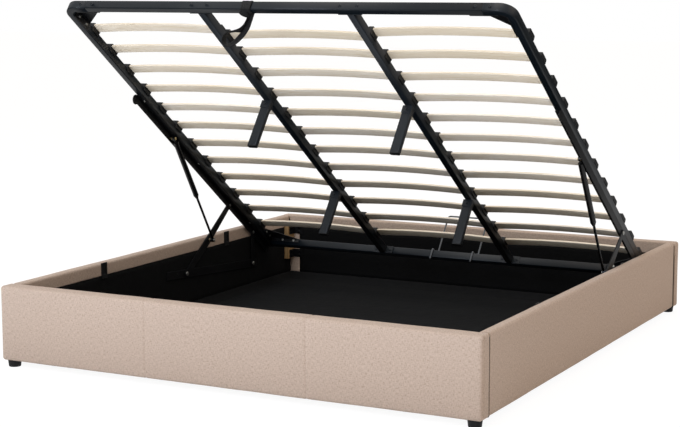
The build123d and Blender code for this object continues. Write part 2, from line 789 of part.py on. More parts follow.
def make_support_legs():
    """Fixed legs under the centre bars with their saddles, bolts and caps."""
    legs, saddles, caps, bolts = [], [], [], []
    outline = RectangleRounded(leg_width, leg_depth, leg_corner_radius)
    inside = RectangleRounded(leg_width - 2 * leg_wall, leg_depth - 2 * leg_wall,
                              leg_corner_radius - leg_wall)
    tube_length = leg_length - leg_cap_thickness
    leg = Pos(0, 0, -tube_length) * extrude(outline - inside, tube_length)
    cap = Pos(0, 0, -leg_length) * extrude(outline, leg_cap_thickness)
    saddle_width = leg_depth + 2 * saddle_thickness
    side_box = Box(leg_width, saddle_thickness, saddle_height)
    for x in (-centre_bar_x, centre_bar_x):
        for place in leg_places:
            spot = Pos(x, -place, 0)
            legs.append(spot * leg)
            caps.append(spot * cap)
            for side in (-1, 1):
                face_y = side * (saddle_width - saddle_thickness) / 2
                saddles.append(spot * Pos(0, face_y, -saddle_height / 2) * side_box)
                bolts.append(fastener_head(
                    (x, side * saddle_width / 2 - place, -saddle_height / 2),
                    (0, side, 0), saddle_bolt_radius, frame_bolt_height))
    save("support_legs", on_lid(group(legs)))
    save("leg_saddles", on_lid(group(saddles)))
    return caps, bolts


def head_rail_plugs():
    """Plugs in the open ends of the head rail."""
    edge = rail_wall + plug_clearance
    plug = box_between((lid_half_width - plug_depth, edge - rail_width, edge),
                       (lid_half_width, -edge, rail_height - edge))
    return [plug, mirrored(plug)]


def make_side_brackets():
    """Angles under the side rails that carry the arms and struts, with their bolts."""
    end_y = -lid_bracket_reach
    ledge = box_between((rail_inner_x, end_y, -lid_bracket_thickness),
                        (lid_half_width, 0, 0))
    flange = box_between((lid_flange_x, end_y, -lid_bracket_drop), (lid_half_width, 0, 0))
    bulge = rod_between((lid_flange_x, end_y, -lid_bracket_end_radius),
                        (lid_half_width, end_y, -lid_bracket_end_radius),
                        lid_bracket_end_radius)
    bracket = ledge + flange + bulge
    bolts = []
    bolt_x = (rail_inner_x + lid_flange_x) / 2
    for place in lid_bracket_bolt_places:
        bolts.append(fastener_head((bolt_x, -place, -lid_bracket_thickness), (0, 0, -1),
                                   frame_bolt_radius, frame_bolt_height))
    for place in (front_pivot_place, rear_pivot_place):
        bolts.append(fastener_head((lid_flange_x, -place, -lid_pivot_drop), (-1, 0, 0),
                                   rivet_head_radius, frame_bolt_height))
    eye_low = strut_axis_x - eye_thickness / 2
    stud = cross_pin(strut_on_lid, eye_low - stud_gap, lid_flange_x, stud_radius)
    stud += cross_pin(strut_on_lid, strut_axis_x + eye_thickness / 2 + stud_gap, lid_flange_x,
                      stud_collar_radius)
    stud += fastener_head((eye_low - stud_gap, *strut_on_lid), (-1, 0, 0),
                          stud_collar_radius, stud_head_height)
    save("right_lid_bracket", on_lid(bracket))
    save("left_lid_bracket", on_lid(mirrored(bracket)))
    save("lid_bracket_bolts", on_lid(group(bolts + [mirrored(bolt) for bolt in bolts])))
    save("strut_upper_studs", on_lid(group([stud, mirrored(stud)])))


def make_pull_strap():
    """Webbing band round the foot rail with a loop that hangs below it."""
    gap = strap_clearance
    outer = gap + strap_thickness
    band = box_between((-strap_width / 2, -lid_length - outer, -outer),
                       (strap_width / 2, rail_width - lid_length + outer,
                        rail_height + outer))
    band -= box_between((-strap_width / 2 - overrun, -lid_length - gap, -gap),
                        (strap_width / 2 + overrun, rail_width - lid_length + gap,
                         rail_height + gap))
    loop_radius = strap_loop_depth / 2
    top = turned((rail_width / 2 - lid_length, -outer - loop_radius), -lid_open_angle)
    loop = SlotOverall(strap_drop, strap_loop_depth) - SlotOverall(
        strap_drop - 2 * strap_thickness, strap_loop_depth - 2 * strap_thickness)
    loop = extrude(loop, strap_width / 2, both=True)
    hung = Plane(origin=(0, top[0], top[1] + loop_radius - strap_drop / 2), x_dir=(0, 0, 1),
                 z_dir=(1, 0, 0)).location * loop
    hung = Rot(lid_open_angle, 0, 0) * hung
    save("pull_strap", on_lid(Pos(strap_x, 0, 0) * group([band, hung])))


def make_retainer():
    """Wire hoop behind the head rail, hooked over the rail at both feet."""
    half = retainer_width / 2
    rail_gap = wire_radius + wire_clearance
    front_y = -rail_width - rail_gap
    over_z = rail_height + rail_gap
    left_hook = [(-half, front_y, -hook_lip), (-half, front_y, over_z)]
    hoop = [(-half, retainer_offset, over_z), (-half, retainer_offset, retainer_height),
            (half, retainer_offset, retainer_height), (half, retainer_offset, over_z)]
    right_hook = [(half, front_y, over_z), (half, front_y, -hook_lip)]
    bends = [rail_gap] + [wire_bend_radius for corner in hoop] + [rail_gap]
    path = FilletPolyline(*left_hook, *hoop, *right_hook, radius=bends)
    section = Plane(origin=path @ 0, z_dir=path % 0) * Circle(wire_radius)
    wire = sweep(section, path)
    save("mattress_retainer", on_lid(Pos(retainer_x, 0, 0) * wire))


def print_joints():
    """Print the places and angles that the joints need."""
    print("lid raised at", lid_open, "shut at", lid_closed, "pole", lid_pole)
    print("front arm base", front_base, "top", front_open, "angle", front_arm_open_angle)
    print("rear arm base", rear_base, "top", rear_open, "angle", rear_arm_open_angle)
    print("strut top", strut_top_open, "foot", strut_foot_open)
    print("strut length", strut_open_length, "shut", strut_closed_length)
    print("strut angle", strut_open_angle, "shut", strut_closed_angle)


def main():
    """Build and write every sub-part."""
    os.makedirs("parts", exist_ok=True)
    make_walls()
    make_feet()
    make_floor_cloth()
    make_corner_joints()
    make_guides()
    make_base_plates()
    make_arms()
    make_struts()
    make_lid_frame()
    frame_bolts = make_lid_brackets()
    make_slats()
    caps, leg_bolts = make_support_legs()
    save("frame_bolts", on_lid(group(frame_bolts + leg_bolts)))
    save("tube_end_caps", on_lid(group(caps + head_rail_plugs())))
    make_side_brackets()
    make_pull_strap()
    make_retainer()
    print_joints()


if __name__ == "__main__":
    main()
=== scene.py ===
"""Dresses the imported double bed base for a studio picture.

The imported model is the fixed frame. Steel, timber and moulded pieces are remade with
rolled edges in the place of their solids, and the soft pieces are made here as cloth.
All lengths are in metres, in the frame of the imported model.
"""
import json
import logging
import math
from dataclasses import dataclass
from enum import Enum
from typing import Any, Callable, Sequence

import bmesh
import bpy
import numpy as np
from bpy.types import Material, Mesh, Node, NodeSocket, NodeTree, Object
from mathutils import Matrix, Vector, noise
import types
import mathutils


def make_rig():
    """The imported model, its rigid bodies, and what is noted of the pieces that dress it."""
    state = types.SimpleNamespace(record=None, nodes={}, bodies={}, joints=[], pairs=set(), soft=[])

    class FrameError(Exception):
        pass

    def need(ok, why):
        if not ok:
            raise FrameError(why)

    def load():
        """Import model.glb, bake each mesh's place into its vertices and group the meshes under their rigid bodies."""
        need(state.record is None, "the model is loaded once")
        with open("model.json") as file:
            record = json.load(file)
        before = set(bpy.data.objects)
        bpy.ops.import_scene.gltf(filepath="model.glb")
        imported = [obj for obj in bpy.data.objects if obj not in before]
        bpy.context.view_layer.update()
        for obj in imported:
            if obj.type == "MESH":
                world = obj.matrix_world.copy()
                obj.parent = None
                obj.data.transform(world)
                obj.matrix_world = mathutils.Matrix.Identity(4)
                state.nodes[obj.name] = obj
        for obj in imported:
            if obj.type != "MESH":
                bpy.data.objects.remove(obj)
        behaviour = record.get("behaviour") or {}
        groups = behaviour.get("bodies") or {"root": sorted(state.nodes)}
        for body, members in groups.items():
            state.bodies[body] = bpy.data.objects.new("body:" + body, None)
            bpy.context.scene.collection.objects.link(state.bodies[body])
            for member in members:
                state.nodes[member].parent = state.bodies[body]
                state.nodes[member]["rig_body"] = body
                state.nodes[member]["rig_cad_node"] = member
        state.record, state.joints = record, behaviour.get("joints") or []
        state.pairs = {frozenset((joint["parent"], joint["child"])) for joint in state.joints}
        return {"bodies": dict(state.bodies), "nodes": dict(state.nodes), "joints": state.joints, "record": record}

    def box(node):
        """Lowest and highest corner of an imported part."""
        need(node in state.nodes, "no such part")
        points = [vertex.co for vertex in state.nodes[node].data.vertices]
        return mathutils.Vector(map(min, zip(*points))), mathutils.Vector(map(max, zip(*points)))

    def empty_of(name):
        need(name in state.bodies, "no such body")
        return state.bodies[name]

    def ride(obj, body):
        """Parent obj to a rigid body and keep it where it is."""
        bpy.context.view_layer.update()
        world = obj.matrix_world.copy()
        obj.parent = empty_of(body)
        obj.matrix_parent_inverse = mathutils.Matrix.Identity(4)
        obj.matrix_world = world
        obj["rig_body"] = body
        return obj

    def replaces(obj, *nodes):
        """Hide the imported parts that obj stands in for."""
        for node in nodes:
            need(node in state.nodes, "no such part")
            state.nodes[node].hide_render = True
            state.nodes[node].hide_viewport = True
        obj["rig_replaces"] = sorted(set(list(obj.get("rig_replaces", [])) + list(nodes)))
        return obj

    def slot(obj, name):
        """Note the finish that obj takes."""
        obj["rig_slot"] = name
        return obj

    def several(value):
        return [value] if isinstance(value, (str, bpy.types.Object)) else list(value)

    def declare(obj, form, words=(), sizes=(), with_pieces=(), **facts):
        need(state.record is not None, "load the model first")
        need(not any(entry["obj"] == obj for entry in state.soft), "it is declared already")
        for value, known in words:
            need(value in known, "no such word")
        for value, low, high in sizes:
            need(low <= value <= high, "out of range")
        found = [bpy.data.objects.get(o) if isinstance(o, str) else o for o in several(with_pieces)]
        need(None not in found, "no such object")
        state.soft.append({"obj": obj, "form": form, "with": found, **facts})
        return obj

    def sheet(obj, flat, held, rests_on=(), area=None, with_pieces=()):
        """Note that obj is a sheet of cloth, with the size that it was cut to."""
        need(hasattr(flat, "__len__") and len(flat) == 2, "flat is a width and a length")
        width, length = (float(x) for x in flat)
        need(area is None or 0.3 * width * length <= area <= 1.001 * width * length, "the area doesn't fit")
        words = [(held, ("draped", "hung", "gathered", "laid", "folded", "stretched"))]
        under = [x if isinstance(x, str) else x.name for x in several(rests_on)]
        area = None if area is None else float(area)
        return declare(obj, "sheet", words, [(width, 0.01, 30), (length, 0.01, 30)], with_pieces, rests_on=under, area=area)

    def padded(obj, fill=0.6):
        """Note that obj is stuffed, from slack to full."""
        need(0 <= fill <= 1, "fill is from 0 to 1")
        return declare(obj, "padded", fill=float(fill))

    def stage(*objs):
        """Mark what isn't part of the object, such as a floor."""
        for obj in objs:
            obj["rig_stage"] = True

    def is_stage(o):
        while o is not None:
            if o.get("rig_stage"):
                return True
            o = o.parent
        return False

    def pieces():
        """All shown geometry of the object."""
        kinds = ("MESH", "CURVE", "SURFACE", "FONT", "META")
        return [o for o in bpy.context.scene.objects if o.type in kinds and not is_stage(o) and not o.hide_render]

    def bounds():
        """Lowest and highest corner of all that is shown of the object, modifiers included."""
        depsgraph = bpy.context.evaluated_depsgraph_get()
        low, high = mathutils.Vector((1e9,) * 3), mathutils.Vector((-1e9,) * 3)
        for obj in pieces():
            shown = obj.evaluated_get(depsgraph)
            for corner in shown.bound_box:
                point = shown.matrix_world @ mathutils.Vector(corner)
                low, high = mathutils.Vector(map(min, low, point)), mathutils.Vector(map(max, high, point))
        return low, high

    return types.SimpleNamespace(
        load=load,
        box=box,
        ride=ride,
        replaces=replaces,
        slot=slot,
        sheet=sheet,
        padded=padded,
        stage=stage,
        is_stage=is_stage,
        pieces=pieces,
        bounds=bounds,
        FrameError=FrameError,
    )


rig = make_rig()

LOG = logging.getLogger("bed")
SIZE_FILE = "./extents.json"
Station = tuple[float, float, float, float]

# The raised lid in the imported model, and its size
LID_ANGLE = math.radians(36.5)
LID_EDGE = (0.0, 0.784551, 0.184553)
LID_LENGTH = 1.873
LID_HALF_WIDTH = 0.8995
LID_PLACE = Matrix.Translation(LID_EDGE) @ Matrix.Rotation(-LID_ANGLE, 4, "X")

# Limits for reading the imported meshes
WELD_REACH = 0.00002
FLAT_ANGLE = math.radians(1)
ROLLED_ANGLE = math.radians(40)
GUSSET_BOLT_X = 0.7
RAIL_FACE_DEPTH = 0.001

# Step between the slices of noise that two walls' linings ripple by
SEED_STEP = 3.7


def linear(code: str) -> tuple[float, float, float, float]:
    """Turns a colour's sRGB hex code into linear values.

    Args:
        code: Six hex digits after a hash sign.

    Returns:
        Red, green, blue and an alpha of one.
    """
    parts = [int(code[place:place + 2], 16) / 255 for place in (1, 3, 5)]
    values = [part / 12.92 if part <= 0.04045 else ((part + 0.055) / 1.055) ** 2.4
              for part in parts]
    return values[0], values[1], values[2], 1.0


def add_node(tree: NodeTree, kind: str, values: dict[Any, Any] | None = None) -> Node:
    """Adds one node with its values and links.

    Args:
        tree: Tree that gets the node.
        kind: Type name of the node.
        values: Values by property name, or by socket name or number. A value that is a
            socket is linked.

    Returns:
        The new node.
    """
    node = tree.nodes.new(kind)
    for key, value in (values or {}).items():
        if isinstance(value, NodeSocket):
            tree.links.new(value, node.inputs[key])
        elif isinstance(key, str) and hasattr(node, key):
            setattr(node, key, value)
        else:
            node.inputs[key].default_value = value
    return node


def cleared(owner: Any) -> NodeTree:
    """Gives a material's or a world's own node tree, emptied."""
    owner.use_nodes = True
    owner.node_tree.nodes.clear()
    return owner.node_tree


class Place(Enum):
    """Where a pattern reads its coordinates."""

    OBJECT = "Object"
    UV = "UV"


class NodeKit:
    """Node tree under way."""

    tree: NodeTree

    def maths(self, operation: str, first: Any, second: Any = 0.0) -> NodeSocket:
        """Sum, product or other operation on two values.

        Args:
            operation: Name of the operation.
            first: Number or socket.
            second: Number or socket.

        Returns:
            The result's socket.
        """
        values = {"operation": operation, 0: first, 1: second}
        return add_node(self.tree, "ShaderNodeMath", values).outputs[0]


class Palette(NodeKit):
    """Material under way, with the few patterns that several finishes share."""

    def __init__(self, name: str, place: Place = Place.OBJECT) -> None:
        """Starts an empty material.

        Args:
            name: Name of the material.
            place: Coordinates that the patterns read.
        """
        self.material = bpy.data.materials.new(name)
        self.tree = cleared(self.material)
        self.place = add_node(self.tree, "ShaderNodeTexCoord").outputs[place.value]

    def grain(self, cell: Sequence[float], detail: float = 3.0) -> NodeSocket:
        """Noise whose cells have a real size.

        Args:
            cell: Size of a cell along each axis, in metres.
            detail: Octaves of the noise.

        Returns:
            The noise value's socket.
        """
        scale = [1 / size for size in cell]
        spread = add_node(self.tree, "ShaderNodeMapping",
                          {"Scale": scale, "Vector": self.place}).outputs[0]
        node = add_node(self.tree, "ShaderNodeTexNoise",
                        {"Scale": 1.0, "Detail": detail, "Vector": spread})
        return node.outputs[0]

    def threads(self, spacing: float, across: str) -> NodeSocket:
        """Parallel threads.

        Args:
            spacing: Distance between threads, in metres.
            across: Axis that the threads are counted along, X or Y.

        Returns:
            The socket of a wave that is one on a thread's crown.
        """
        node = add_node(self.tree, "ShaderNodeTexWave",
                        {"wave_type": "BANDS", "bands_direction": across,
                         "Scale": math.pi / (10 * spacing), "Distortion": 0.0,
                         "Vector": self.place})
        return node.outputs[1]

    def ramp(self, source: NodeSocket, stops: Sequence[tuple[float, str]]) -> NodeSocket:
        """Colours along a value.

        Args:
            source: Socket with the value.
            stops: Places from zero to one, with their colour codes.

        Returns:
            The colour's socket.
        """
        node = add_node(self.tree, "ShaderNodeValToRGB", {"Fac": source})
        ramp = node.color_ramp
        while len(ramp.elements) < len(stops):
            ramp.elements.new(0.5)
        for element, (place, code) in zip(ramp.elements, stops):
            element.position = place
            element.color = linear(code)
        return node.outputs[0]

    def mix(self, share: Any, first: Any, second: Any, blend: str = "MIX") -> NodeSocket:
        """Mixes two colours.

        Args:
            share: Number or socket with the second colour's share.
            first: Socket or hex code of the first colour.
            second: Socket or hex code of the second colour.
            blend: Name of the blend.

        Returns:
            The mixed colour's socket.
        """
        first, second = (linear(value) if isinstance(value, str) else value
                         for value in (first, second))
        values = {"data_type": "RGBA", "blend_type": blend, 0: share, 6: first, 7: second}
        return add_node(self.tree, "ShaderNodeMix", values).outputs[2]

    def span(self, source: NodeSocket, low: float, high: float) -> NodeSocket:
        """Spreads a value from zero to one over a new range."""
        return add_node(self.tree, "ShaderNodeMapRange",
                        {"To Min": low, "To Max": high, "Value": source}).outputs[0]

    def relief(self, height: NodeSocket, depth: float,
               under: NodeSocket | None = None) -> NodeSocket:
        """Bump of a real depth.

        Args:
            height: Socket with the height from zero to one.
            depth: Height of the relief in metres.
            under: Normal of a coarser relief under this one.

        Returns:
            The normal's socket.
        """
        values = {"Distance": depth, "Height": height}
        if under is not None:
            values["Normal"] = under
        return add_node(self.tree, "ShaderNodeBump", values).outputs[0]

    def close(self, values: dict[str, Any]) -> Material:
        """Ends the material in one surface shader.

        Args:
            values: Values of the shader and sockets that feed it.

        Returns:
            The finished material.
        """
        shader = add_node(self.tree, "ShaderNodeBsdfPrincipled", values)
        add_node(self.tree, "ShaderNodeOutputMaterial", {"Surface": shader.outputs[0]})
        return self.material


@dataclass(frozen=True)
class WovenUpholstery:
    """Flat-woven polyester in a melange of pale and brown yarn, stretched on foam."""

    light: str = "#CEBEB1"
    middle: str = "#C1B0A2"
    dark: str = "#A79587"
    stops: tuple[float, float, float] = (0.36, 0.48, 0.6)
    patch: float = 0.25
    thread: float = 0.0016
    slub_length: float = 0.011
    slub_width: float = 0.0024

    def material(self) -> Material:
        """Makes the cloth of the four walls.

        The eye gets a matt, slightly fuzzy surface, with short dark and pale slubs along
        both threads, and painted shade darkens the hollows between the threads. The real slubs are half as wide, too
        fine to show at this distance.

        Returns:
            The material.
        """
        kit = Palette("woven_upholstery", Place.UV)
        weft = kit.grain((self.slub_length, self.slub_width, 1.0), 2.0)
        warp = kit.grain((self.slub_width, self.slub_length, 1.0), 2.0)
        yarn = kit.maths("MULTIPLY", kit.maths("ADD", weft, warp), 0.5)
        colour = kit.ramp(yarn, list(zip(self.stops, (self.dark, self.middle, self.light))))
        broad = kit.grain((self.patch, self.patch, 1.0), 2.0)
        colour = kit.mix(kit.span(broad, 0.0, 0.35), colour, self.middle)
        weave = kit.maths("MAXIMUM", kit.threads(self.thread, "X"),
                          kit.threads(self.thread, "Y"))
        # Darkens the hollows between the thread crowns: painted shade
        colour = kit.mix(kit.span(weave, 0.22, 0.0), colour, self.dark, "MULTIPLY")
        normal = kit.relief(weave, 0.0004, kit.relief(yarn, 0.0005))
        return kit.close({"Roughness": 0.9, "Sheen Weight": 0.25, "Sheen Roughness": 0.4,
                          "Specular IOR Level": 0.25, "Base Color": colour, "Normal": normal})


@dataclass(frozen=True)
class BlackNonwoven:
    """Spunbonded polypropylene cloth, of the lining and the floor."""

    name: str
    colour: str
    fibre: str
    cell: float = 0.0025
    fuzz: float = 0.03

    def material(self) -> Material:
        """Makes a black cloth with faint pressed dots and a dull bloom on its fibres.

        Returns:
            The material.
        """
        kit = Palette(self.name)
        dots = add_node(kit.tree, "ShaderNodeTexVoronoi",
                        {"Scale": 1 / self.cell, "Vector": kit.place}).outputs[0]
        fuzz = kit.grain((self.fuzz,) * 3)
        colour = kit.mix(kit.span(fuzz, 0.0, 0.7), self.colour, self.fibre)
        normal = kit.relief(dots, 0.0003, kit.relief(fuzz, 0.002))
        return kit.close({"Roughness": 0.9, "Specular IOR Level": 0.12, "Base Color": colour,
                          "Normal": normal})


@dataclass(frozen=True)
class PowderCoat:
    """Polyester powder baked on steel, with the fine orange peel of such a coat."""

    name: str
    colour: str
    worn: str
    roughness: float = 0.42
    shine: float = 0.3
    peel: float = 0.0012
    peel_depth: float = 0.00008
    patch: float = 0.09

    def material(self) -> Material:
        """Makes a dark satin coat that greys a little in broad patches.

        Returns:
            The material.
        """
        kit = Palette(self.name)
        peel = kit.grain((self.peel,) * 3, 1.0)
        patches = kit.grain((self.patch,) * 3)
        colour = kit.mix(kit.span(patches, 0.0, 0.5), self.colour, self.worn)
        dull = kit.span(patches, self.roughness - 0.06, self.roughness + 0.08)
        return kit.close({"IOR": 1.5, "Specular IOR Level": self.shine, "Base Color": colour,
                          "Roughness": dull, "Normal": kit.relief(peel, self.peel_depth)})


@dataclass(frozen=True)
class PlatedSteel:
    """Steel with a thin electroplated coat, of bolts, rivets and rods."""

    name: str
    colour: str
    stain: str
    roughness: float
    cloud: float = 0.004

    def material(self) -> Material:
        """Makes a bright metal with faint cloudy stains and fine turning lines.

        Returns:
            The material.
        """
        kit = Palette(self.name)
        clouds = kit.grain((self.cloud,) * 3, 4.0)
        colour = kit.mix(kit.span(clouds, 0.0, 0.6), self.colour, self.stain)
        dull = kit.span(clouds, self.roughness - 0.05, self.roughness + 0.1)
        return kit.close({"Metallic": 1.0, "Base Color": colour, "Roughness": dull})


@dataclass(frozen=True)
class MouldedPlastic:
    """Injection-moulded polypropylene with a fine spark-eroded face."""

    name: str
    colour: str
    roughness: float = 0.5
    pit: float = 0.0008
    pit_depth: float = 0.00006

    def material(self) -> Material:
        """Makes a plastic whose face has the mould's fine grain and slight flow marks.

        Returns:
            The material.
        """
        kit = Palette(self.name)
        pits = kit.grain((self.pit,) * 3, 1.0)
        flow = kit.grain((0.02, 0.02, 0.006))
        dull = kit.span(flow, self.roughness - 0.08, self.roughness + 0.08)
        colour = kit.mix(kit.span(flow, 0.0, 0.2), self.colour, "#2B2C2E")
        return kit.close({"IOR": 1.49, "Specular IOR Level": 0.3, "Base Color": colour,
                          "Roughness": dull, "Normal": kit.relief(pits, self.pit_depth)})


@dataclass(frozen=True)
class SlatVeneer:
    """Birch veneers glued and pressed to a bow, under a thin clear lacquer."""

    light: str = "#FBF8EE"
    middle: str = "#F4EDDD"
    dark: str = "#D6C7A4"

    def material(self) -> Material:
        """Makes pale wood with long fine grain, and its own tint on each slat.

        Returns:
            The material.
        """
        kit = Palette("slat_veneer")
        grain = kit.grain((0.35, 0.0035, 0.0035), 4.0)
        flame = kit.grain((0.5, 0.022, 0.022), 2.0)
        colour = kit.ramp(grain, ((0.25, self.dark), (0.5, self.middle),
                                  (0.72, self.light)))
        colour = kit.mix(kit.span(flame, 0.0, 0.5), colour, self.light)
        tint = add_node(kit.tree, "ShaderNodeAttribute", {"attribute_name": "tint"})
        colour = kit.mix(kit.span(tint.outputs[2], 0.0, 0.4), colour, self.dark)
        return kit.close({"Roughness": 0.5, "Coat Weight": 0.12, "Coat Roughness": 0.3,
                          "Base Color": colour, "Normal": kit.relief(grain, 0.0002)})


@dataclass(frozen=True)
class RawTimber:
    """Sawn and sanded softwood or raw board, without finish."""

    name: str
    light: str
    dark: str

    def material(self) -> Material:
        """Makes dry wood with upright grain.

        Returns:
            The material.
        """
        kit = Palette(self.name)
        grain = kit.grain((0.004, 0.004, 0.12), 4.0)
        colour = kit.ramp(grain, ((0.3, self.dark), (0.7, self.light)))
        return kit.close({"Roughness": 0.75, "Base Color": colour,
                          "Normal": kit.relief(grain, 0.0003)})


@dataclass(frozen=True)
class Webbing:
    """Polypropylene webbing in a herringbone weave."""

    colour: str = "#080809"
    # Lighter colour of the ribs' crowns: a painted highlight that stands in for each rib's shine
    crown: str = "#151618"
    rib: float = 0.0022

    def material(self) -> Material:
        """Makes a black band with ribs along it, each rib's crown coloured lighter as a painted highlight for its soft
        shine.

        Returns:
            The material.
        """
        kit = Palette("webbing", Place.UV)
        ribs = kit.threads(self.rib, "X")
        picks = kit.threads(self.rib * 0.6, "Y")
        weave = kit.maths("MULTIPLY", ribs, picks)
        # Lighter colour on the raised crowns of the weave: painted highlight
        colour = kit.mix(weave, self.colour, self.crown)
        return kit.close({"Roughness": 0.65, "Sheen Weight": 0.04, "Sheen Roughness": 0.4,
                          "Specular IOR Level": 0.25, "Base Color": colour,
                          "Normal": kit.relief(weave, 0.0005)})


class Recipe(NodeKit):
    """Geometry node tree under way, with named inputs for its sizes."""

    def __init__(self, name: str) -> None:
        """Starts a tree that takes and gives one geometry.

        Args:
            name: Name of the tree.
        """
        self.tree = bpy.data.node_groups.new(name, "GeometryNodeTree")
        self.keys: dict[str, str] = {}
        self.geometry = self._socket("Geometry", "NodeSocketGeometry")
        self.tree.interface.new_socket("Geometry", in_out="OUTPUT",
                                       socket_type="NodeSocketGeometry")
        self.start = add_node(self.tree, "NodeGroupInput")

    def _socket(self, name: str, kind: str) -> str:
        """Declares an input and gives its identifier."""
        item = self.tree.interface.new_socket(name, in_out="INPUT", socket_type=kind)
        self.keys[name] = item.identifier
        return item.identifier

    def entry(self, name: str, kind: str = "NodeSocketFloat") -> NodeSocket:
        """Adds a named input.

        Args:
            name: Name of the input.
            kind: Socket type.

        Returns:
            The socket that carries the input inside the tree.
        """
        self._socket(name, kind)
        return self.start.outputs[name]

    def add(self, kind: str, values: dict[Any, Any] | None = None) -> NodeSocket:
        """Adds a node and gives its first output."""
        return add_node(self.tree, kind, values).outputs[0]

    def close(self, instances: NodeSocket) -> None:
        """Ends the tree in real geometry with its material.

        Args:
            instances: Socket with the geometry or instances.
        """
        material = self.entry("Material", "NodeSocketMaterial")
        real = self.add("GeometryNodeRealizeInstances", {"Geometry": instances})
        done = self.add("GeometryNodeSetMaterial",
                        {"Geometry": real, "Material": material})
        add_node(self.tree, "NodeGroupOutput", {0: done})

    def make(self, base: Mesh, values: dict[str, Any]) -> Mesh:
        """Runs the tree on a mesh.

        Args:
            base: Mesh with the points or lines that the tree reads.
            values: Input values by name.

        Returns:
            A plain mesh.
        """
        inputs = {self.keys[name]: value for name, value in values.items()}
        return modified(base, "NODES", {"node_group": self.tree}, inputs)


def linked(name: str, data: Any) -> Object:
    """Puts new data in the scene as an object."""
    obj = bpy.data.objects.new(name, data)
    bpy.context.scene.collection.objects.link(obj)
    return obj


def modified(mesh: Mesh, kind: str, settings: dict[str, Any],
             inputs: dict[str, Any] | None = None) -> Mesh:
    """Runs one modifier on a mesh.

    Args:
        mesh: The mesh.
        kind: Type name of the modifier.
        settings: The modifier's values by property name.
        inputs: Values of a node tree's inputs by identifier.

    Returns:
        A new mesh with the modifier applied.
    """
    carrier = linked("carrier", mesh)
    modifier = carrier.modifiers.new("work", kind)
    for key, value in settings.items():
        setattr(modifier, key, value)
    for key, value in (inputs or {}).items():
        modifier[key] = value
    bpy.context.view_layer.update()
    graph = bpy.context.evaluated_depsgraph_get()
    result = bpy.data.meshes.new_from_object(carrier.evaluated_get(graph),
                                             preserve_all_data_layers=True, depsgraph=graph)
    bpy.data.objects.remove(carrier)
    return result


def backed(mesh: Mesh, thickness: float) -> Mesh:
    """Gives an open shell or sheet its thickness behind its faces."""
    return modified(mesh, "SOLIDIFY", {"thickness": thickness, "offset": -1})


def closed(work: bmesh.types.BMesh, name: str) -> Mesh:
    """Ends a mesh under way as a plain mesh."""
    mesh = bpy.data.meshes.new(name)
    work.to_mesh(mesh)
    work.free()
    return mesh


def smooth(mesh: Mesh) -> Mesh:
    """Shades all faces smooth."""
    mesh.polygons.foreach_set("use_smooth", [True] * len(mesh.polygons))
    return mesh


def mesh_from(points: Sequence[Sequence[float]], edges: Sequence[Sequence[int]] = (),
              faces: Sequence[Sequence[int]] = ()) -> Mesh:
    """Makes a mesh from plain lists.

    Args:
        points: Places of the points.
        edges: Pairs of point numbers.
        faces: Rings of point numbers.

    Returns:
        The mesh.
    """
    mesh = bpy.data.meshes.new("work")
    mesh.from_pydata([tuple(point) for point in points], list(edges), list(faces))
    mesh.update()
    return mesh


def polyline(points: Sequence[Sequence[float]]) -> Mesh:
    """Makes a line through points."""
    return mesh_from(points, [(step, step + 1) for step in range(len(points) - 1)])


def grid_mesh(rows: int, columns: int, spot: Callable[[int, int], Sequence[float]]) -> Mesh:
    """Makes an open sheet of four-sided faces.

    Args:
        rows: Faces up the sheet.
        columns: Faces across the sheet.
        spot: Gives a point's place by its row and column.

    Returns:
        The sheet.
    """
    points = [spot(row, column) for row in range(rows + 1) for column in range(columns + 1)]
    step = columns + 1
    faces = [(first, first + 1, first + step + 1, first + step)
             for row in range(rows) for first in range(row * step, row * step + columns)]
    return mesh_from(points, faces=faces)


def tube_faces(rings: int, count: int) -> list[tuple[int, ...]]:
    """Faces of a closed tube whose points go ring by ring.

    Args:
        rings: Number of rings.
        count: Points in each ring.

    Returns:
        The faces along the tube, then its first and its last end.
    """
    faces: list[tuple[int, ...]] = []
    for first in range(0, (rings - 1) * count, count):
        for step in range(count):
            after = (step + 1) % count
            faces.append((first + step, first + after, first + count + after,
                          first + count + step))
    faces.append(tuple(reversed(range(count))))
    faces.append(tuple(range(count * (rings - 1), count * rings)))
    return faces


def piece(name: str, mesh: Mesh, material: Material, body: str,
          slot: str, replaced: Sequence[str] = ()) -> Object:
    """Puts a finished mesh in the scene as a piece of the bed.

    Args:
        name: Name of the piece.
        mesh: Its mesh, in place.
        material: Its finish.
        body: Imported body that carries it.
        slot: Material slot of the record.
        replaced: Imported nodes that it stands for.

    Returns:
        The new object.
    """
    mesh.name = name
    mesh.materials.clear()
    mesh.materials.append(material)
    obj = linked(name, mesh)
    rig.ride(obj, body)
    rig.slot(obj, slot)
    if replaced:
        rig.replaces(obj, *replaced)
    LOG.info("%s rides on %s with %d faces", name, body, len(mesh.polygons))
    return obj


def merged(node: str) -> bmesh.types.BMesh:
    """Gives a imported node's mesh with its loose triangles joined."""
    work = bmesh.new()
    work.from_mesh(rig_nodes()[node].data)
    bmesh.ops.remove_doubles(work, verts=work.verts, dist=WELD_REACH)
    return work


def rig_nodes() -> dict[str, Object]:
    """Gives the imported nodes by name."""
    return {obj["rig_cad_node"]: obj for obj in bpy.data.objects if "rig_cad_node" in obj}


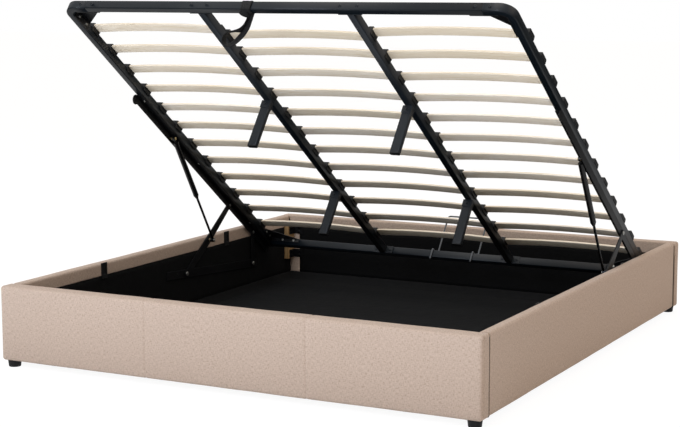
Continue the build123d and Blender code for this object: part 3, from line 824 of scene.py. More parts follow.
def remade(node: str, edge: float, material: Material, slot: str, steps: int = 2) -> Object:
    """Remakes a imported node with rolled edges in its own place.

    Args:
        node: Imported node.
        edge: Width of the rolled edge.
        material: Its finish.
        slot: Material slot of the record.
        steps: Faces across each rolled edge.

    Returns:
        The new piece.
    """
    work = merged(node)
    bmesh.ops.dissolve_limit(work, angle_limit=FLAT_ANGLE, verts=work.verts,
                             edges=work.edges)
    rounded = modified(closed(work, node), "BEVEL", {
        "width": edge, "segments": steps, "limit_method": "ANGLE",
        "angle_limit": ROLLED_ANGLE, "harden_normals": False, "use_clamp_overlap": True})
    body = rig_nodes()[node]["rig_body"]
    return piece(f"{node}_finished", rounded, material, body, slot, [node])


def solids_of(node: str) -> list[np.ndarray]:
    """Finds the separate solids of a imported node.

    Args:
        node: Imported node.

    Returns:
        The points of each solid.
    """
    work = merged(node)
    work.verts.ensure_lookup_table()
    seen: set[int] = set()
    solids = []
    for start in work.verts:
        if start.index in seen:
            continue
        queue, island = [start], []
        seen.add(start.index)
        while queue:
            vert = queue.pop()
            island.append(tuple(vert.co))
            for edge in vert.link_edges:
                other = edge.other_vert(vert)
                if other.index not in seen:
                    seen.add(other.index)
                    queue.append(other)
        solids.append(np.array(island))
    work.free()
    return solids


class Tool(Enum):
    """Number of sides of the recess in a fastener's head, by the tool that turns it."""

    HEX_KEY = 6
    CROSS_DRIVER = 4


@dataclass
class Fasteners:
    """Heads of bolts and rivets, in the places of a node's solids."""

    recess_share: float = 0.5
    crown_share: float = 0.62
    sides: int = 20

    def __post_init__(self) -> None:
        """Builds the tree of one head on each point."""
        kit = Recipe("fastener_heads")
        radius = kit.entry("Radius")
        height = kit.entry("Height")
        sides = kit.entry("Sides", "NodeSocketInt")

        def lifted(shape: str, share: float, values: dict[str, Any]) -> NodeSocket:
            """Makes a shape and lifts it by a share of the height."""
            lift = kit.add("ShaderNodeCombineXYZ",
                           {"Z": kit.maths("MULTIPLY", height, share)})
            return kit.add("GeometryNodeTransform",
                           {"Geometry": kit.add(shape, values), "Translation": lift})

        half = kit.maths("MULTIPLY", height, 0.5)
        crown = kit.maths("MULTIPLY", radius, self.crown_share)
        recess = kit.maths("MULTIPLY", radius, self.recess_share)
        rim = lifted("GeometryNodeMeshCylinder", 0.25,
                     {"Vertices": self.sides, "Radius": radius, "Depth": half})
        dome = lifted("GeometryNodeMeshCone", 0.5,
                      {"Vertices": self.sides, "Radius Bottom": radius, "Radius Top": crown,
                       "Depth": half})
        socket = lifted("GeometryNodeMeshCylinder", 0.95,
                        {"Vertices": sides, "Radius": recess, "Depth": height})
        cut = add_node(kit.tree, "GeometryNodeMeshBoolean", {"operation": "DIFFERENCE"})
        kit.tree.links.new(dome, cut.inputs[0])
        kit.tree.links.new(socket, cut.inputs[1])
        head = add_node(kit.tree, "GeometryNodeJoinGeometry")
        kit.tree.links.new(rim, head.inputs[0])
        kit.tree.links.new(cut.outputs[0], head.inputs[0])
        facing = add_node(kit.tree, "GeometryNodeInputNamedAttribute",
                          {"data_type": "FLOAT_VECTOR", "Name": "facing"})
        turn = kit.add("FunctionNodeAlignRotationToVector",
                       {"axis": "Z", "Vector": facing.outputs[0]})
        placed = kit.add("GeometryNodeInstanceOnPoints",
                         {"Points": kit.start.outputs[0], "Instance": head.outputs[0],
                          "Rotation": turn})
        kit.close(placed)
        self.recipe = kit

    @staticmethod
    def seat(points: np.ndarray) -> tuple[np.ndarray, np.ndarray, float, float]:
        """Finds how a head's solid stands.

        Args:
            points: Points of the solid.

        Returns:
            The middle of its seat, the way that it faces, its radius and its height.
        """
        middle = (points.max(0) + points.min(0)) / 2
        centred = points - points.mean(0)
        facing = np.linalg.svd(centred, full_matrices=False)[2][-1]
        along = centred @ facing
        spread = np.linalg.norm(centred - np.outer(along, facing), axis=1)
        near, far = along < along.min() + 1e-5, along > along.max() - 1e-5
        if spread[far].max() > spread[near].max():
            facing, along = -facing, -along
        height = float(along.max() - along.min())
        return middle - facing * height / 2, facing, float(spread.max()), height

    def heads(self, spots: Sequence[tuple[Sequence[float], Sequence[float]]],
              size: tuple[float, float], tool: Tool,
              material: Material) -> Mesh:
        """Makes heads of one size.

        Args:
            spots: Middle of each seat and the way that its head faces.
            size: Radius and height of the heads.
            tool: Tool that turns them.
            material: Their finish.

        Returns:
            One mesh with all the heads.
        """
        base = mesh_from([place for place, _ in spots])
        attribute = base.attributes.new("facing", "FLOAT_VECTOR", "POINT")
        ways = np.array([way for _, way in spots], np.float32)
        attribute.data.foreach_set("vector", ways.ravel())
        return self.recipe.make(base, {"Radius": size[0], "Height": size[1],
                                       "Sides": tool.value, "Material": material})

    def dress(self, node: str, tool: Tool, plated: Material, slot: str,
              painted: Material | None = None,
              is_painted: Callable[[Vector], bool] = lambda place: False) -> None:
        """Replaces a node of heads.

        Args:
            node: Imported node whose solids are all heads.
            tool: Tool that turns them.
            plated: Finish of the plated heads.
            slot: Material slot of the record.
            painted: Finish of the heads that were painted with the frame.
            is_painted: Tells whether the head at a place was painted.
        """
        groups: dict[tuple[float, float, int], list] = {}
        for solid in solids_of(node):
            place, facing, radius, height = self.seat(solid)
            number = 1 if is_painted(Vector(place)) else 0
            key = (round(radius, 4), round(height, 4), number)
            groups.setdefault(key, []).append((place, facing))
        work = bmesh.new()
        for (radius, height, number), spots in groups.items():
            before = len(work.faces)
            work.from_mesh(self.heads(spots, (radius, height), tool, plated))
            work.faces.ensure_lookup_table()
            for face in work.faces[before:]:
                face.material_index = number
        mesh = closed(work, node)
        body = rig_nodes()[node]["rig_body"]
        numbers = [face.material_index for face in mesh.polygons]
        obj = piece(f"{node}_heads", mesh, plated, body, slot, [node])
        if painted is not None:
            obj.data.materials.append(painted)
            mesh.polygons.foreach_set("material_index", numbers)


def painted_with_frame(place: Vector) -> bool:
    """Tells whether a bolt of the lid was painted: all but those of the corner gussets."""
    spot = LID_PLACE.inverted() @ place
    return abs(spot.x) < GUSSET_BOLT_X or spot.y < RAIL_FACE_DEPTH - LID_LENGTH


@dataclass
class LidFrame:
    """Welded frame of rectangular steel tube, with its plates and legs."""

    tube_width: float = 0.028
    tube_height: float = 0.034
    tube_wall: float = 0.0016
    tube_corner: float = 0.0035
    bend_radius: float = 0.041
    joint_setback: float = 0.1075
    bar_x: float = 0.3
    bar_margin: float = 0.031
    joint_gap: float = 0.0002
    bend_steps: int = 12
    plate_edge: float = 0.0007
    bracket_edge: float = 0.0006
    leg_edge: float = 0.0005

    def __post_init__(self) -> None:
        """Builds the tree that runs a rounded tube along a line."""
        kit = Recipe("tube_on_line")
        width = kit.entry("Width")
        height = kit.entry("Height")
        corner = kit.entry("Corner")
        section = kit.add("GeometryNodeCurvePrimitiveQuadrilateral",
                          {"Width": width, "Height": height})
        section = kit.add("GeometryNodeFilletCurve", {"mode": "POLY", "Count": 3,
                                                      "Curve": section, "Radius": corner})
        line = kit.add("GeometryNodeMeshToCurve", {"Mesh": kit.start.outputs[0]})
        line = kit.add("GeometryNodeSetCurveNormal", {"mode": "Z_UP", "Curve": line})
        kit.close(kit.add("GeometryNodeCurveToMesh",
                          {"Curve": line, "Profile Curve": section}))
        self.recipe = kit

    def tube(self, name: str, line: Sequence[Sequence[float]], finish: Material,
             node: str) -> None:
        """Makes one tube, open at its ends.

        Args:
            name: Name of the tube.
            line: Points of its middle line on the lid.
            finish: Its material.
            node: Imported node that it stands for.
        """
        mesh = self.recipe.make(polyline(line), {
            "Width": self.tube_width, "Height": self.tube_height,
            "Corner": self.tube_corner, "Material": finish})
        walled = thickened(mesh, self.tube_wall)
        walled.transform(LID_PLACE)
        piece(name, walled, finish, "lid", "frame_steel", [node])

    def side_line(self, side: int) -> list[tuple[float, float, float]]:
        """Middle line of a side rail, which turns inwards at the foot corner."""
        x = LID_HALF_WIDTH - self.tube_width / 2
        end_y = self.tube_width / 2 - LID_LENGTH
        z = self.tube_height / 2
        line = [(x, -self.tube_width - self.joint_gap, z)]
        for step in range(self.bend_steps + 1):
            turn = math.radians(90 * step / self.bend_steps)
            line.append((x - self.bend_radius * (1 - math.cos(turn)),
                         end_y + self.bend_radius * (1 - math.sin(turn)), z))
        line.append((LID_HALF_WIDTH - self.joint_setback + self.joint_gap, end_y, z))
        return [(side * px, py, pz) for px, py, pz in line]

    def build(self, steel: Material, dark: Material, wire: Material) -> None:
        """Makes the frame's tubes and plates.

        Args:
            steel: Finish of the frame.
            dark: Finish of the black lid brackets, and of the corner gussets, which are frame steel and take it as
                painted shade.
            wire: Finish of the mattress retainer.
        """
        z = self.tube_height / 2
        for name, side in (("left", -1), ("right", 1)):
            self.tube(f"{name}_side_tube", self.side_line(side), steel, f"{name}_side_rail")
            x = side * self.bar_x
            bar = [(x, self.bar_margin - LID_LENGTH, z), (x, -self.bar_margin, z)]
            self.tube(f"{name}_centre_tube", bar, steel, f"{name}_centre_bar")
        for name, x, y in (
                ("foot", LID_HALF_WIDTH - self.joint_setback, self.tube_width / 2 - LID_LENGTH),
                ("head", LID_HALF_WIDTH, -self.tube_width / 2)):
            self.tube(f"{name}_tube", [(-x, y, z), (x, y, z)], steel, f"{name}_rail")
        for node, edge, finish, slot in (
                ("centre_bar_flanges", self.plate_edge, steel, "frame_steel"),
                ("leg_saddles", self.plate_edge, steel, "frame_steel"),
                # The gussets are frame steel; the darker black coat is painted shade for their shaded webs
                ("corner_gussets", self.plate_edge, dark, "frame_steel"),
                ("left_lid_bracket", self.bracket_edge, dark, "black_steel"),
                ("right_lid_bracket", self.bracket_edge, dark, "black_steel"),
                ("support_legs", self.leg_edge, steel, "frame_steel")):
            remade(node, edge, finish, slot)
        show("mattress_retainer", wire)


def thickened(mesh: Mesh, wall: float) -> Mesh:
    """Turns an open shell's faces outwards and gives it a wall on its inner side."""
    work = bmesh.new()
    work.from_mesh(mesh)
    bmesh.ops.recalc_face_normals(work, faces=work.faces)
    work.to_mesh(mesh)
    work.free()
    return backed(mesh, wall)


def show(node: str, material: Material) -> None:
    """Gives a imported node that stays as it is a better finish."""
    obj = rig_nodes()[node]
    if not obj.material_slots:
        obj.data.materials.append(material)
    for slot in obj.material_slots:
        slot.material = material


@dataclass
class SlatField:
    """Sprung slats of the lid in three columns, with the caps that hold their ends."""

    width: float = 0.045
    thickness: float = 0.008
    bow: float = 0.01
    rows: int = 12
    first_row: float = 0.1455
    pitch: float = 0.1395
    centre_setback: float = 0.03
    seat: float = 0.042
    stations: int = 25
    edge: float = 0.0022
    cap_edge: float = 0.0012
    seed: int = 11

    def __post_init__(self) -> None:
        """Builds the tree that lays a column of bowed slats."""
        kit = Recipe("slat_column")
        length = kit.entry("Length")
        width = kit.entry("Width")
        thickness = kit.entry("Thickness")
        bow = kit.entry("Bow")
        edge = kit.entry("Edge")
        seed = kit.entry("Seed", "NodeSocketInt")
        half = kit.maths("MULTIPLY", length, 0.5)
        left = kit.add("ShaderNodeCombineXYZ", {"X": kit.maths("MULTIPLY", half, -1.0)})
        right = kit.add("ShaderNodeCombineXYZ", {"X": half})
        line = kit.add("GeometryNodeCurvePrimitiveLine", {"Start": left, "End": right})
        line = kit.add("GeometryNodeResampleCurve", {"Count": self.stations, "Curve": line})
        spot = kit.add("GeometryNodeInputPosition")
        along = kit.maths("DIVIDE", kit.add("ShaderNodeSeparateXYZ", {0: spot}), half)
        rise = kit.maths("SUBTRACT", 1.0, kit.maths("MULTIPLY", along, along))
        lift = kit.add("ShaderNodeCombineXYZ", {"Z": kit.maths("MULTIPLY", rise, bow)})
        line = kit.add("GeometryNodeSetPosition", {"Geometry": line, "Offset": lift})
        line = kit.add("GeometryNodeSetCurveNormal", {"mode": "Z_UP", "Curve": line})
        section = kit.add("GeometryNodeCurvePrimitiveQuadrilateral",
                          {"Width": width, "Height": thickness})
        section = kit.add("GeometryNodeFilletCurve", {"mode": "POLY", "Count": 3,
                                                      "Curve": section, "Radius": edge})
        slat = kit.add("GeometryNodeCurveToMesh",
                       {"Fill Caps": True, "Curve": line, "Profile Curve": section})
        placed = kit.add("GeometryNodeInstanceOnPoints",
                         {"Points": kit.start.outputs[0], "Instance": slat})
        chance = add_node(kit.tree, "FunctionNodeRandomValue",
                          {"data_type": "FLOAT", "Seed": seed})
        tinted = kit.add("GeometryNodeStoreNamedAttribute",
                         {"data_type": "FLOAT", "domain": "INSTANCE", "Name": "tint",
                          "Geometry": placed, "Value": chance.outputs[1]})
        kit.close(tinted)
        self.recipe = kit

    def column(self, name: str, wood: Material, seed: int) -> None:
        """Makes one column of slats.

        Args:
            name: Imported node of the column.
            wood: Finish of the slats.
            seed: Number that fixes the column's tints.
        """
        low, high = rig.box(name)
        middle = (low.x + high.x) / 2
        points = [(middle, -self.first_row - row * self.pitch, self.seat)
                  for row in range(self.rows)]
        if name == "centre_slats":
            last = points.pop()
            points.append((last[0], last[1] + self.centre_setback, last[2]))
        mesh = self.recipe.make(mesh_from(points), {
            "Length": high.x - low.x, "Width": self.width, "Thickness": self.thickness,
            "Bow": self.bow, "Edge": self.edge, "Seed": seed, "Material": wood})
        mesh.transform(LID_PLACE)
        piece(f"{name}_veneered", mesh, wood, "lid", "slat", [name])

    def build(self, wood: Material, plastic: Material) -> None:
        """Makes the three columns and their four rows of caps.

        Args:
            wood: Finish of the slats.
            plastic: Finish of the caps.
        """
        for number, name in enumerate(("left_slats", "centre_slats", "right_slats")):
            self.column(name, wood, self.seed + number)
        for node in ("left_rail_holders", "left_bar_holders", "right_bar_holders",
                     "right_rail_holders"):
            remade(node, self.cap_edge, plastic, "holder")
        remade("tube_end_caps", self.cap_edge, plastic, "holder", 3)


@dataclass
class LiftGear:
    """Arms, base plates and gas struts at both sides."""

    cap_rings: tuple[tuple[float, float], ...] = (
        (-0.006, 0.01135), (0.0, 0.0113), (0.006, 0.0088), (0.014, 0.0062), (0.014, 0.0052))
    cap_sides: int = 24
    end_reach: float = 0.004
    edge: float = 0.0006
    foot_bolt: tuple[float, float] = (0.0064, 0.003)
    foot_collar: tuple[float, float] = (0.0075, 0.0007)
    foot_bolt_x: float = 0.8775
    foot_collar_x: float = 0.90025
    foot_place: tuple[float, float] = (0.287830, 0.283634)

    def strut_cap(self, side: str, finish: Material) -> None:
        """Makes the tapered collar at a cylinder's mouth.

        Args:
            side: Name of the side.
            finish: Its material.
        """
        points = np.concatenate(solids_of(f"{side}_strut_cylinder"))
        rod = np.concatenate(solids_of(f"{side}_strut_rod"))
        x = (points[:, 0].max() + points[:, 0].min()) / 2
        top = points[points[:, 2] > points[:, 2].max() - self.end_reach].mean(0)
        foot = rod[rod[:, 2] < rod[:, 2].min() + self.end_reach].mean(0)
        way = Vector((0, foot[1] - top[1], foot[2] - top[2])).normalized()
        along = (points - top) @ np.array(way)
        mouth = Vector((x, top[1], top[2])) + way * float(along.max())
        turn = way.to_track_quat("Z", "X").to_matrix()
        verts = []
        for depth, radius in self.cap_rings:
            for step in range(self.cap_sides):
                angle = 2 * math.pi * step / self.cap_sides
                local = Vector((radius * math.cos(angle), radius * math.sin(angle), depth))
                verts.append(mouth + turn @ local)
        faces = tube_faces(len(self.cap_rings), self.cap_sides)
        piece(f"{side}_strut_collar", mesh_from(verts, faces=faces), finish,
              f"{side}_cylinder_body", "cylinder")

    def foot_heads(self, side: str, heads: Fasteners, zinc: Material, stud: Material) -> None:
        """Makes the bolt and the collar at a strut's lower end.

        Args:
            side: Name of the side.
            heads: Maker of heads.
            zinc: Finish of the bolt.
            stud: Finish of the collar.
        """
        way = 1.0 if side == "left" else -1.0
        for name, x, size, finish, body, slot in (
                ("foot_bolt", self.foot_bolt_x, self.foot_bolt, zinc, "rod_body", "rod"),
                ("foot_collar", self.foot_collar_x, self.foot_collar, stud, "front_arm_body",
                 "zinc")):
            spot = ((-way * x, *self.foot_place), (way, 0.0, 0.0))
            mesh = heads.heads([spot], size, Tool.HEX_KEY, finish)
            piece(f"{side}_{name}", mesh, finish, f"{side}_{body}", slot)

    def build(self, black: Material, lacquer: Material,
              rod: Material, zinc: Material,
              stud: Material, heads: Fasteners) -> None:
        """Dresses the lift gear.

        Args:
            black: Finish of the arms and plates.
            lacquer: Finish of the cylinders.
            rod: Finish of the piston rods.
            zinc: Finish of the pins.
            stud: Finish of the studs.
            heads: Maker of heads.
        """
        for side in ("left", "right"):
            self.foot_heads(side, heads, zinc, stud)
            for node in (f"{side}_front_arm", f"{side}_rear_arm", f"{side}_base_plate"):
                remade(node, self.edge, black, "black_steel")
            show(f"{side}_front_arm_pins", zinc)
            show(f"{side}_rear_arm_pin", zinc)
            show(f"{side}_strut_cylinder", lacquer)
            show(f"{side}_strut_rod", rod)
            self.strut_cap(side, lacquer)
        show("base_pivot_pins", zinc)
        show("strut_upper_studs", stud)


class Wall(Enum):
    """The four upholstered walls."""

    FOOT = "foot"
    HEAD = "head"
    LEFT = "left"
    RIGHT = "right"

    @property
    def along(self) -> int:
        """Number of the axis that the wall runs along."""
        return 0 if self in (Wall.FOOT, Wall.HEAD) else 1

    @property
    def inward(self) -> int:
        """One where the box's inside lies towards higher places, otherwise minus one."""
        return 1 if self in (Wall.FOOT, Wall.LEFT) else -1

    @property
    def seed(self) -> float:
        """Fixed number, so that no two linings ripple alike."""
        return SEED_STEP * (list(Wall).index(self) + 1)


@dataclass
class Upholstery:
    """Foam-backed covers of the four walls and the black linings inside them."""

    edge_radius: float = 0.011
    butt_radius: float = 0.003
    butt_gap: float = 0.011
    band_height: float = 0.05
    recess: float = 0.003
    seam_half_spacing: float = 0.32
    seam_depth: float = 0.0022
    seam_width: float = 0.0026
    end_seam_setback: float = 0.0165
    crown: float = 0.0022
    pitch: float = 0.022
    edge_shares: tuple[float, ...] = (0.0, 0.12, 0.3, 0.55, 0.8, 1.0)
    seam_reach: float = 0.011
    seam_lines: tuple[float, ...] = (-0.009, -0.005, -0.0025, -0.0012, 0, 0.0012, 0.0025,
                                     0.005, 0.009)
    face_share: float = 0.7
    rim_share: float = 0.3
    band_step: float = 0.004
    band_swell: float = 0.001
    unevenness: float = 0.0007
    uneven_scale: float = 9.0
    lining_setback: float = 0.0004
    lining_ripple: float = 0.0015
    lining_thickness: float = 0.0012
    lining_scale: tuple[float, float] = (5, 2)
    lining_faces: tuple[int, int] = (12, 90)
    turning_width: float = 0.05
    turning_thickness: float = 0.0018
    turning_gap: float = 0.0003
    turning_ripple: float = 0.0006
    turning_scale: tuple[float, float] = (30, 12)
    turning_faces: tuple[int, int] = (24, 6)
    # Setback, top gap and rolled edge of the black strips in the wall joints, which are painted shade
    joint_depth: float = 0.0009
    joint_top: float = 0.014
    joint_edge: float = 0.0006

    def lines(self, low: float, high: float, extra: Sequence[float]) -> list[float]:
        """Places of the mesh lines along one axis.

        Args:
            low: Lowest place.
            high: Highest place.
            extra: Seams near which the lines stand closer.

        Returns:
            The places in order.
        """
        radius = self.edge_radius
        places = [low + radius * share for share in self.edge_shares]
        places += [high - radius * share for share in self.edge_shares]
        count = max(2, round((high - low - 2 * radius) / self.pitch))
        places += [low + radius + (high - low - 2 * radius) * step / count
                   for step in range(1, count)]
        for seam in extra:
            places = [place for place in places if abs(place - seam) > self.seam_reach]
            places += [seam + offset for offset in self.seam_lines]
        return sorted(place for place in places if low <= place <= high)

    def block(self, low: Vector, high: Vector, seams: dict[int, Sequence[float]]
              ) -> bmesh.types.BMesh:
        """Makes a box whose faces are fine grids.

        Args:
            low: Lowest corner.
            high: Highest corner.
            seams: Places of close lines, by axis number.

        Returns:
            The mesh under way, with its sides joined.
        """
        axes = [self.lines(low[axis], high[axis], seams.get(axis, ())) for axis in range(3)]
        work = bmesh.new()
        for axis in range(3):
            across, up = (axis + 1) % 3, (axis + 2) % 3
            for level in (low[axis], high[axis]):
                grid = []
                for u in axes[across]:
                    row = []
                    for v in axes[up]:
                        spot = [0.0, 0.0, 0.0]
                        spot[axis], spot[across], spot[up] = level, u, v
                        row.append(work.verts.new(spot))
                    grid.append(row)
                for i in range(len(grid) - 1):
                    for j in range(len(grid[0]) - 1):
                        ring = [grid[i][j], grid[i + 1][j], grid[i + 1][j + 1],
                                grid[i][j + 1]]
                        work.faces.new(ring if level == high[axis] else ring[::-1])
        bmesh.ops.remove_doubles(work, verts=work.verts, dist=0.00001)
        return work

    def cover(self, wall: Wall, cloth: Material) -> None:
        """Makes the cover of one wall.

        Args:
            wall: The wall.
            cloth: Its cloth.
        """
        node = f"{wall.value}_panel_cover"
        low, high = (corner.copy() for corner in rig.box(node))
        along, deep, inner_side = wall.along, 1 - wall.along, wall.inward
        if along == 1:
            low.y += self.butt_gap
            high.y -= self.butt_gap
        inner = high[deep] if inner_side > 0 else low[deep]
        outer = low[deep] if inner_side > 0 else high[deep]
        band_z = high.z - self.band_height
        end_seam = outer + inner_side * self.end_seam_setback
        seams: dict[int, Sequence[float]] = {2: [band_z]}
        if along == 0:
            seams[0] = [-self.seam_half_spacing, self.seam_half_spacing]
            seams[1] = [end_seam]
        work = self.block(low, high, seams)
        low_radii, high_radii = Vector((self.edge_radius,) * 3), Vector((self.edge_radius,) * 3)
        if along == 1 or inner_side < 0:
            low_radii.y = self.butt_radius
        if along == 1 or inner_side > 0:
            high_radii.y = self.butt_radius
        for vert in work.verts:
            spot = vert.co.copy()
            core = Vector([min(max(spot[axis], low[axis] + low_radii[axis]),
                               high[axis] - high_radii[axis]) for axis in range(3)])
            radii = Vector([low_radii[axis] if spot[axis] <= core[axis] else high_radii[axis]
                            for axis in range(3)])
            way = Vector([(spot[axis] - core[axis]) / radii[axis]
                          for axis in range(3)]).normalized()
            puff = 0.0
            if way[deep] * inner_side < -self.face_share:
                puff = self._puff(spot, along, low, high)
            elif way[deep] * inner_side > self.face_share:
                puff = -self.recess * self._step((band_z - spot.z) / self.band_step)
                if spot.z > band_z:
                    puff += self.band_swell
            elif abs(way[along]) > self.face_share and along == 0:
                puff = -self.seam_depth * self._dip(spot[1] - end_seam)
            puff += self.unevenness * noise.noise(spot * self.uneven_scale)
            if wall is Wall.FOOT and way[deep] * inner_side < self.rim_share:
                for seam in seams[0]:
                    puff -= self.seam_depth * self._dip(spot.x - seam)
            vert.co = core + way * puff + Vector([way[axis] * radii[axis]
                                                  for axis in range(3)])
        mesh = smooth(closed(work, node))
        flat_uv(mesh, along)
        obj = piece(f"{wall.value}_wall_cover", mesh, cloth, "base", "cover", [node])
        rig.padded(obj, fill=1.0)

    def _puff(self, spot: Vector, along: int, low: Vector, high: Vector) -> float:
        """Gives how far the foam stands out at a spot of the outer face."""
        up = (spot.z - low.z) / (high.z - low.z)
        edge = self.seam_half_spacing
        if along == 0 and abs(spot.x) < edge:
            across = (spot.x + edge) / (2 * edge)
        elif along == 0:
            across = (abs(spot.x) - edge) / (high.x - edge)
        else:
            across = (spot.y - low.y) / (high.y - low.y)
        swell = (1 - (2 * up - 1) ** 4) * (1 - (2 * across - 1) ** 8)
        return self.crown * max(swell, 0.0)

    @staticmethod
    def _step(share: float) -> float:
        """Smooth step from zero to one."""
        share = min(max(share, 0.0), 1.0)
        return share * share * (3 - 2 * share)

    def _dip(self, offset: float) -> float:
        """Depth share of a seam at a distance from it."""
        return math.exp(-(offset / self.seam_width) ** 2)

    def lining(self, wall: Wall, cloth: Material) -> None:
        """Makes the stretched lining of one wall.

        Args:
            wall: The wall.
            cloth: Its cloth.
        """
        node = f"{wall.value}_panel_lining"
        low, high = (corner.copy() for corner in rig.box(node))
        along, deep, inner_side = wall.along, 1 - wall.along, wall.inward
        face = high[deep] if inner_side > 0 else low[deep]
        if along == 0:
            low.x += self.turning_width
            high.x -= self.turning_width
        rows, columns = self.lining_faces

        def spot(row: int, column: int) -> list[float]:
            """Place of a point, with a faint ripple that dies away at the edges."""
            place = [0.0, 0.0, low.z + (high.z - low.z) * row / rows]
            place[along] = low[along] + (high[along] - low[along]) * column / columns
            fade = math.sin(math.pi * row / rows) * math.sin(math.pi * column / columns)
            ripple = noise.noise(Vector((place[along] * self.lining_scale[0],
                                         place[2] * self.lining_scale[1], wall.seed)))
            place[deep] = (face - inner_side * self.lining_setback
                           + inner_side * self.lining_ripple * fade * ripple)
            return place

        sheet = faced(grid_mesh(rows, columns, spot), deep, inner_side)
        mesh = smooth(backed(sheet, self.lining_thickness))
        obj = piece(f"{wall.value}_wall_lining", mesh, cloth, "base", "lining", [node])
        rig.sheet(obj, flat=(high[along] - low[along], high.z - low.z), held="stretched",
                 rests_on=[f"{wall.value}_panel_board"])

    def turning(self, wall: Wall, side: int, cloth: Material) -> None:
        """Makes the strip of cover that is turned over a cross wall's inner face.

        Args:
            wall: Foot or head wall.
            side: Minus one for the left end, one for the right end.
            cloth: Its cloth.
        """
        low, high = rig.box(f"{wall.value}_panel_lining")
        inner_side = wall.inward
        face = (high.y if inner_side > 0 else low.y) + inner_side * self.turning_gap
        near, far = high.x * side, (high.x - self.turning_width) * side
        rows, columns = self.turning_faces

        def spot(row: int, column: int) -> tuple[float, float, float]:
            """Place of a point, with a faint ripple."""
            z = low.z + (high.z - low.z) * row / rows
            x = near + (far - near) * column / columns
            ripple = self.turning_ripple * noise.noise(Vector((
                x * self.turning_scale[0], z * self.turning_scale[1], wall.seed)))
            return x, face + inner_side * ripple, z

        sheet = faced(grid_mesh(rows, columns, spot), 1, inner_side)
        mesh = smooth(backed(sheet, self.turning_thickness))
        flat_uv(mesh, 0)
        name = f"{wall.value}_{'left' if side < 0 else 'right'}_turning"
        obj = piece(name, mesh, cloth, "base", "cover")
        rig.sheet(obj, flat=(self.turning_width, high.z - low.z), held="stretched",
                 rests_on=[f"{wall.value}_panel_board"])

    def corner_joints(self, black: Material) -> None:
        """Makes the black strips at the bottom of the joints between two walls, as painted shade for the shadow that
        falls in the joints.

        Args:
            black: Cloth of the strips.
        """
        work = bmesh.new()
        for wall, side in ((Wall.LEFT, -1), (Wall.RIGHT, 1)):
            low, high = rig.box(f"{wall.value}_panel_cover")
            outer = (low.x if side < 0 else high.x) - side * self.joint_depth
            inner = (high.x if side < 0 else low.x) + side * self.joint_depth
            for start in (low.y, high.y - self.butt_gap):
                near = Vector((min(inner, outer), start, low.z + self.joint_depth))
                far = Vector((max(inner, outer), start + self.butt_gap,
                              high.z - self.joint_top))
                place = (Matrix.Translation((near + far) / 2)
                         @ Matrix.Diagonal((*(far - near), 1.0)))
                made = bmesh.ops.create_cube(work, size=1.0, matrix=place)
                edges = list({edge for vert in made["verts"] for edge in vert.link_edges})
                bmesh.ops.bevel(work, geom=edges, offset=self.joint_edge, segments=2,
                                affect="EDGES", profile=0.5)
        # Black strips in the joints: painted shade
        name = "corner_joint_strips"
        piece(name, closed(work, name), black, "base", "lining")

    def build(self, cloth: Material, black: Material) -> None:
        """Makes all covers and linings.

        Args:
            cloth: Cloth of the covers.
            black: Cloth of the linings.
        """
        for wall in Wall:
            self.cover(wall, cloth)
            self.lining(wall, black)
        for wall in (Wall.FOOT, Wall.HEAD):
            for side in (-1, 1):
                self.turning(wall, side, cloth)
        self.corner_joints(black)


def faced(mesh: Mesh, axis: int, side: int) -> Mesh:
    """Turns an open sheet so that its faces look to one side of an axis."""
    if mesh.polygons[0].normal[axis] * side < 0:
        mesh.flip_normals()
    return mesh


def flat_uv(mesh: Mesh, along: int) -> None:
    """Lays a UV map in real metres on the faces, seen square on.

    Args:
        mesh: The mesh.
        along: Axis of the piece's length, X or Y by number.
    """
    layer = mesh.uv_layers.new(name="weave")
    values = np.zeros((len(mesh.loops), 2), np.float32)
    for polygon in mesh.polygons:
        normal = [abs(value) for value in polygon.normal]
        axis = normal.index(max(normal))
        first, second = {0: (1, 2), 1: (0, 2), 2: (along, 1 - along)}[axis]
        for loop in polygon.loop_indices:
            spot = mesh.vertices[mesh.loops[loop].vertex_index].co
            values[loop] = (spot[first], spot[second])
    layer.data.foreach_set("uv", values.ravel())


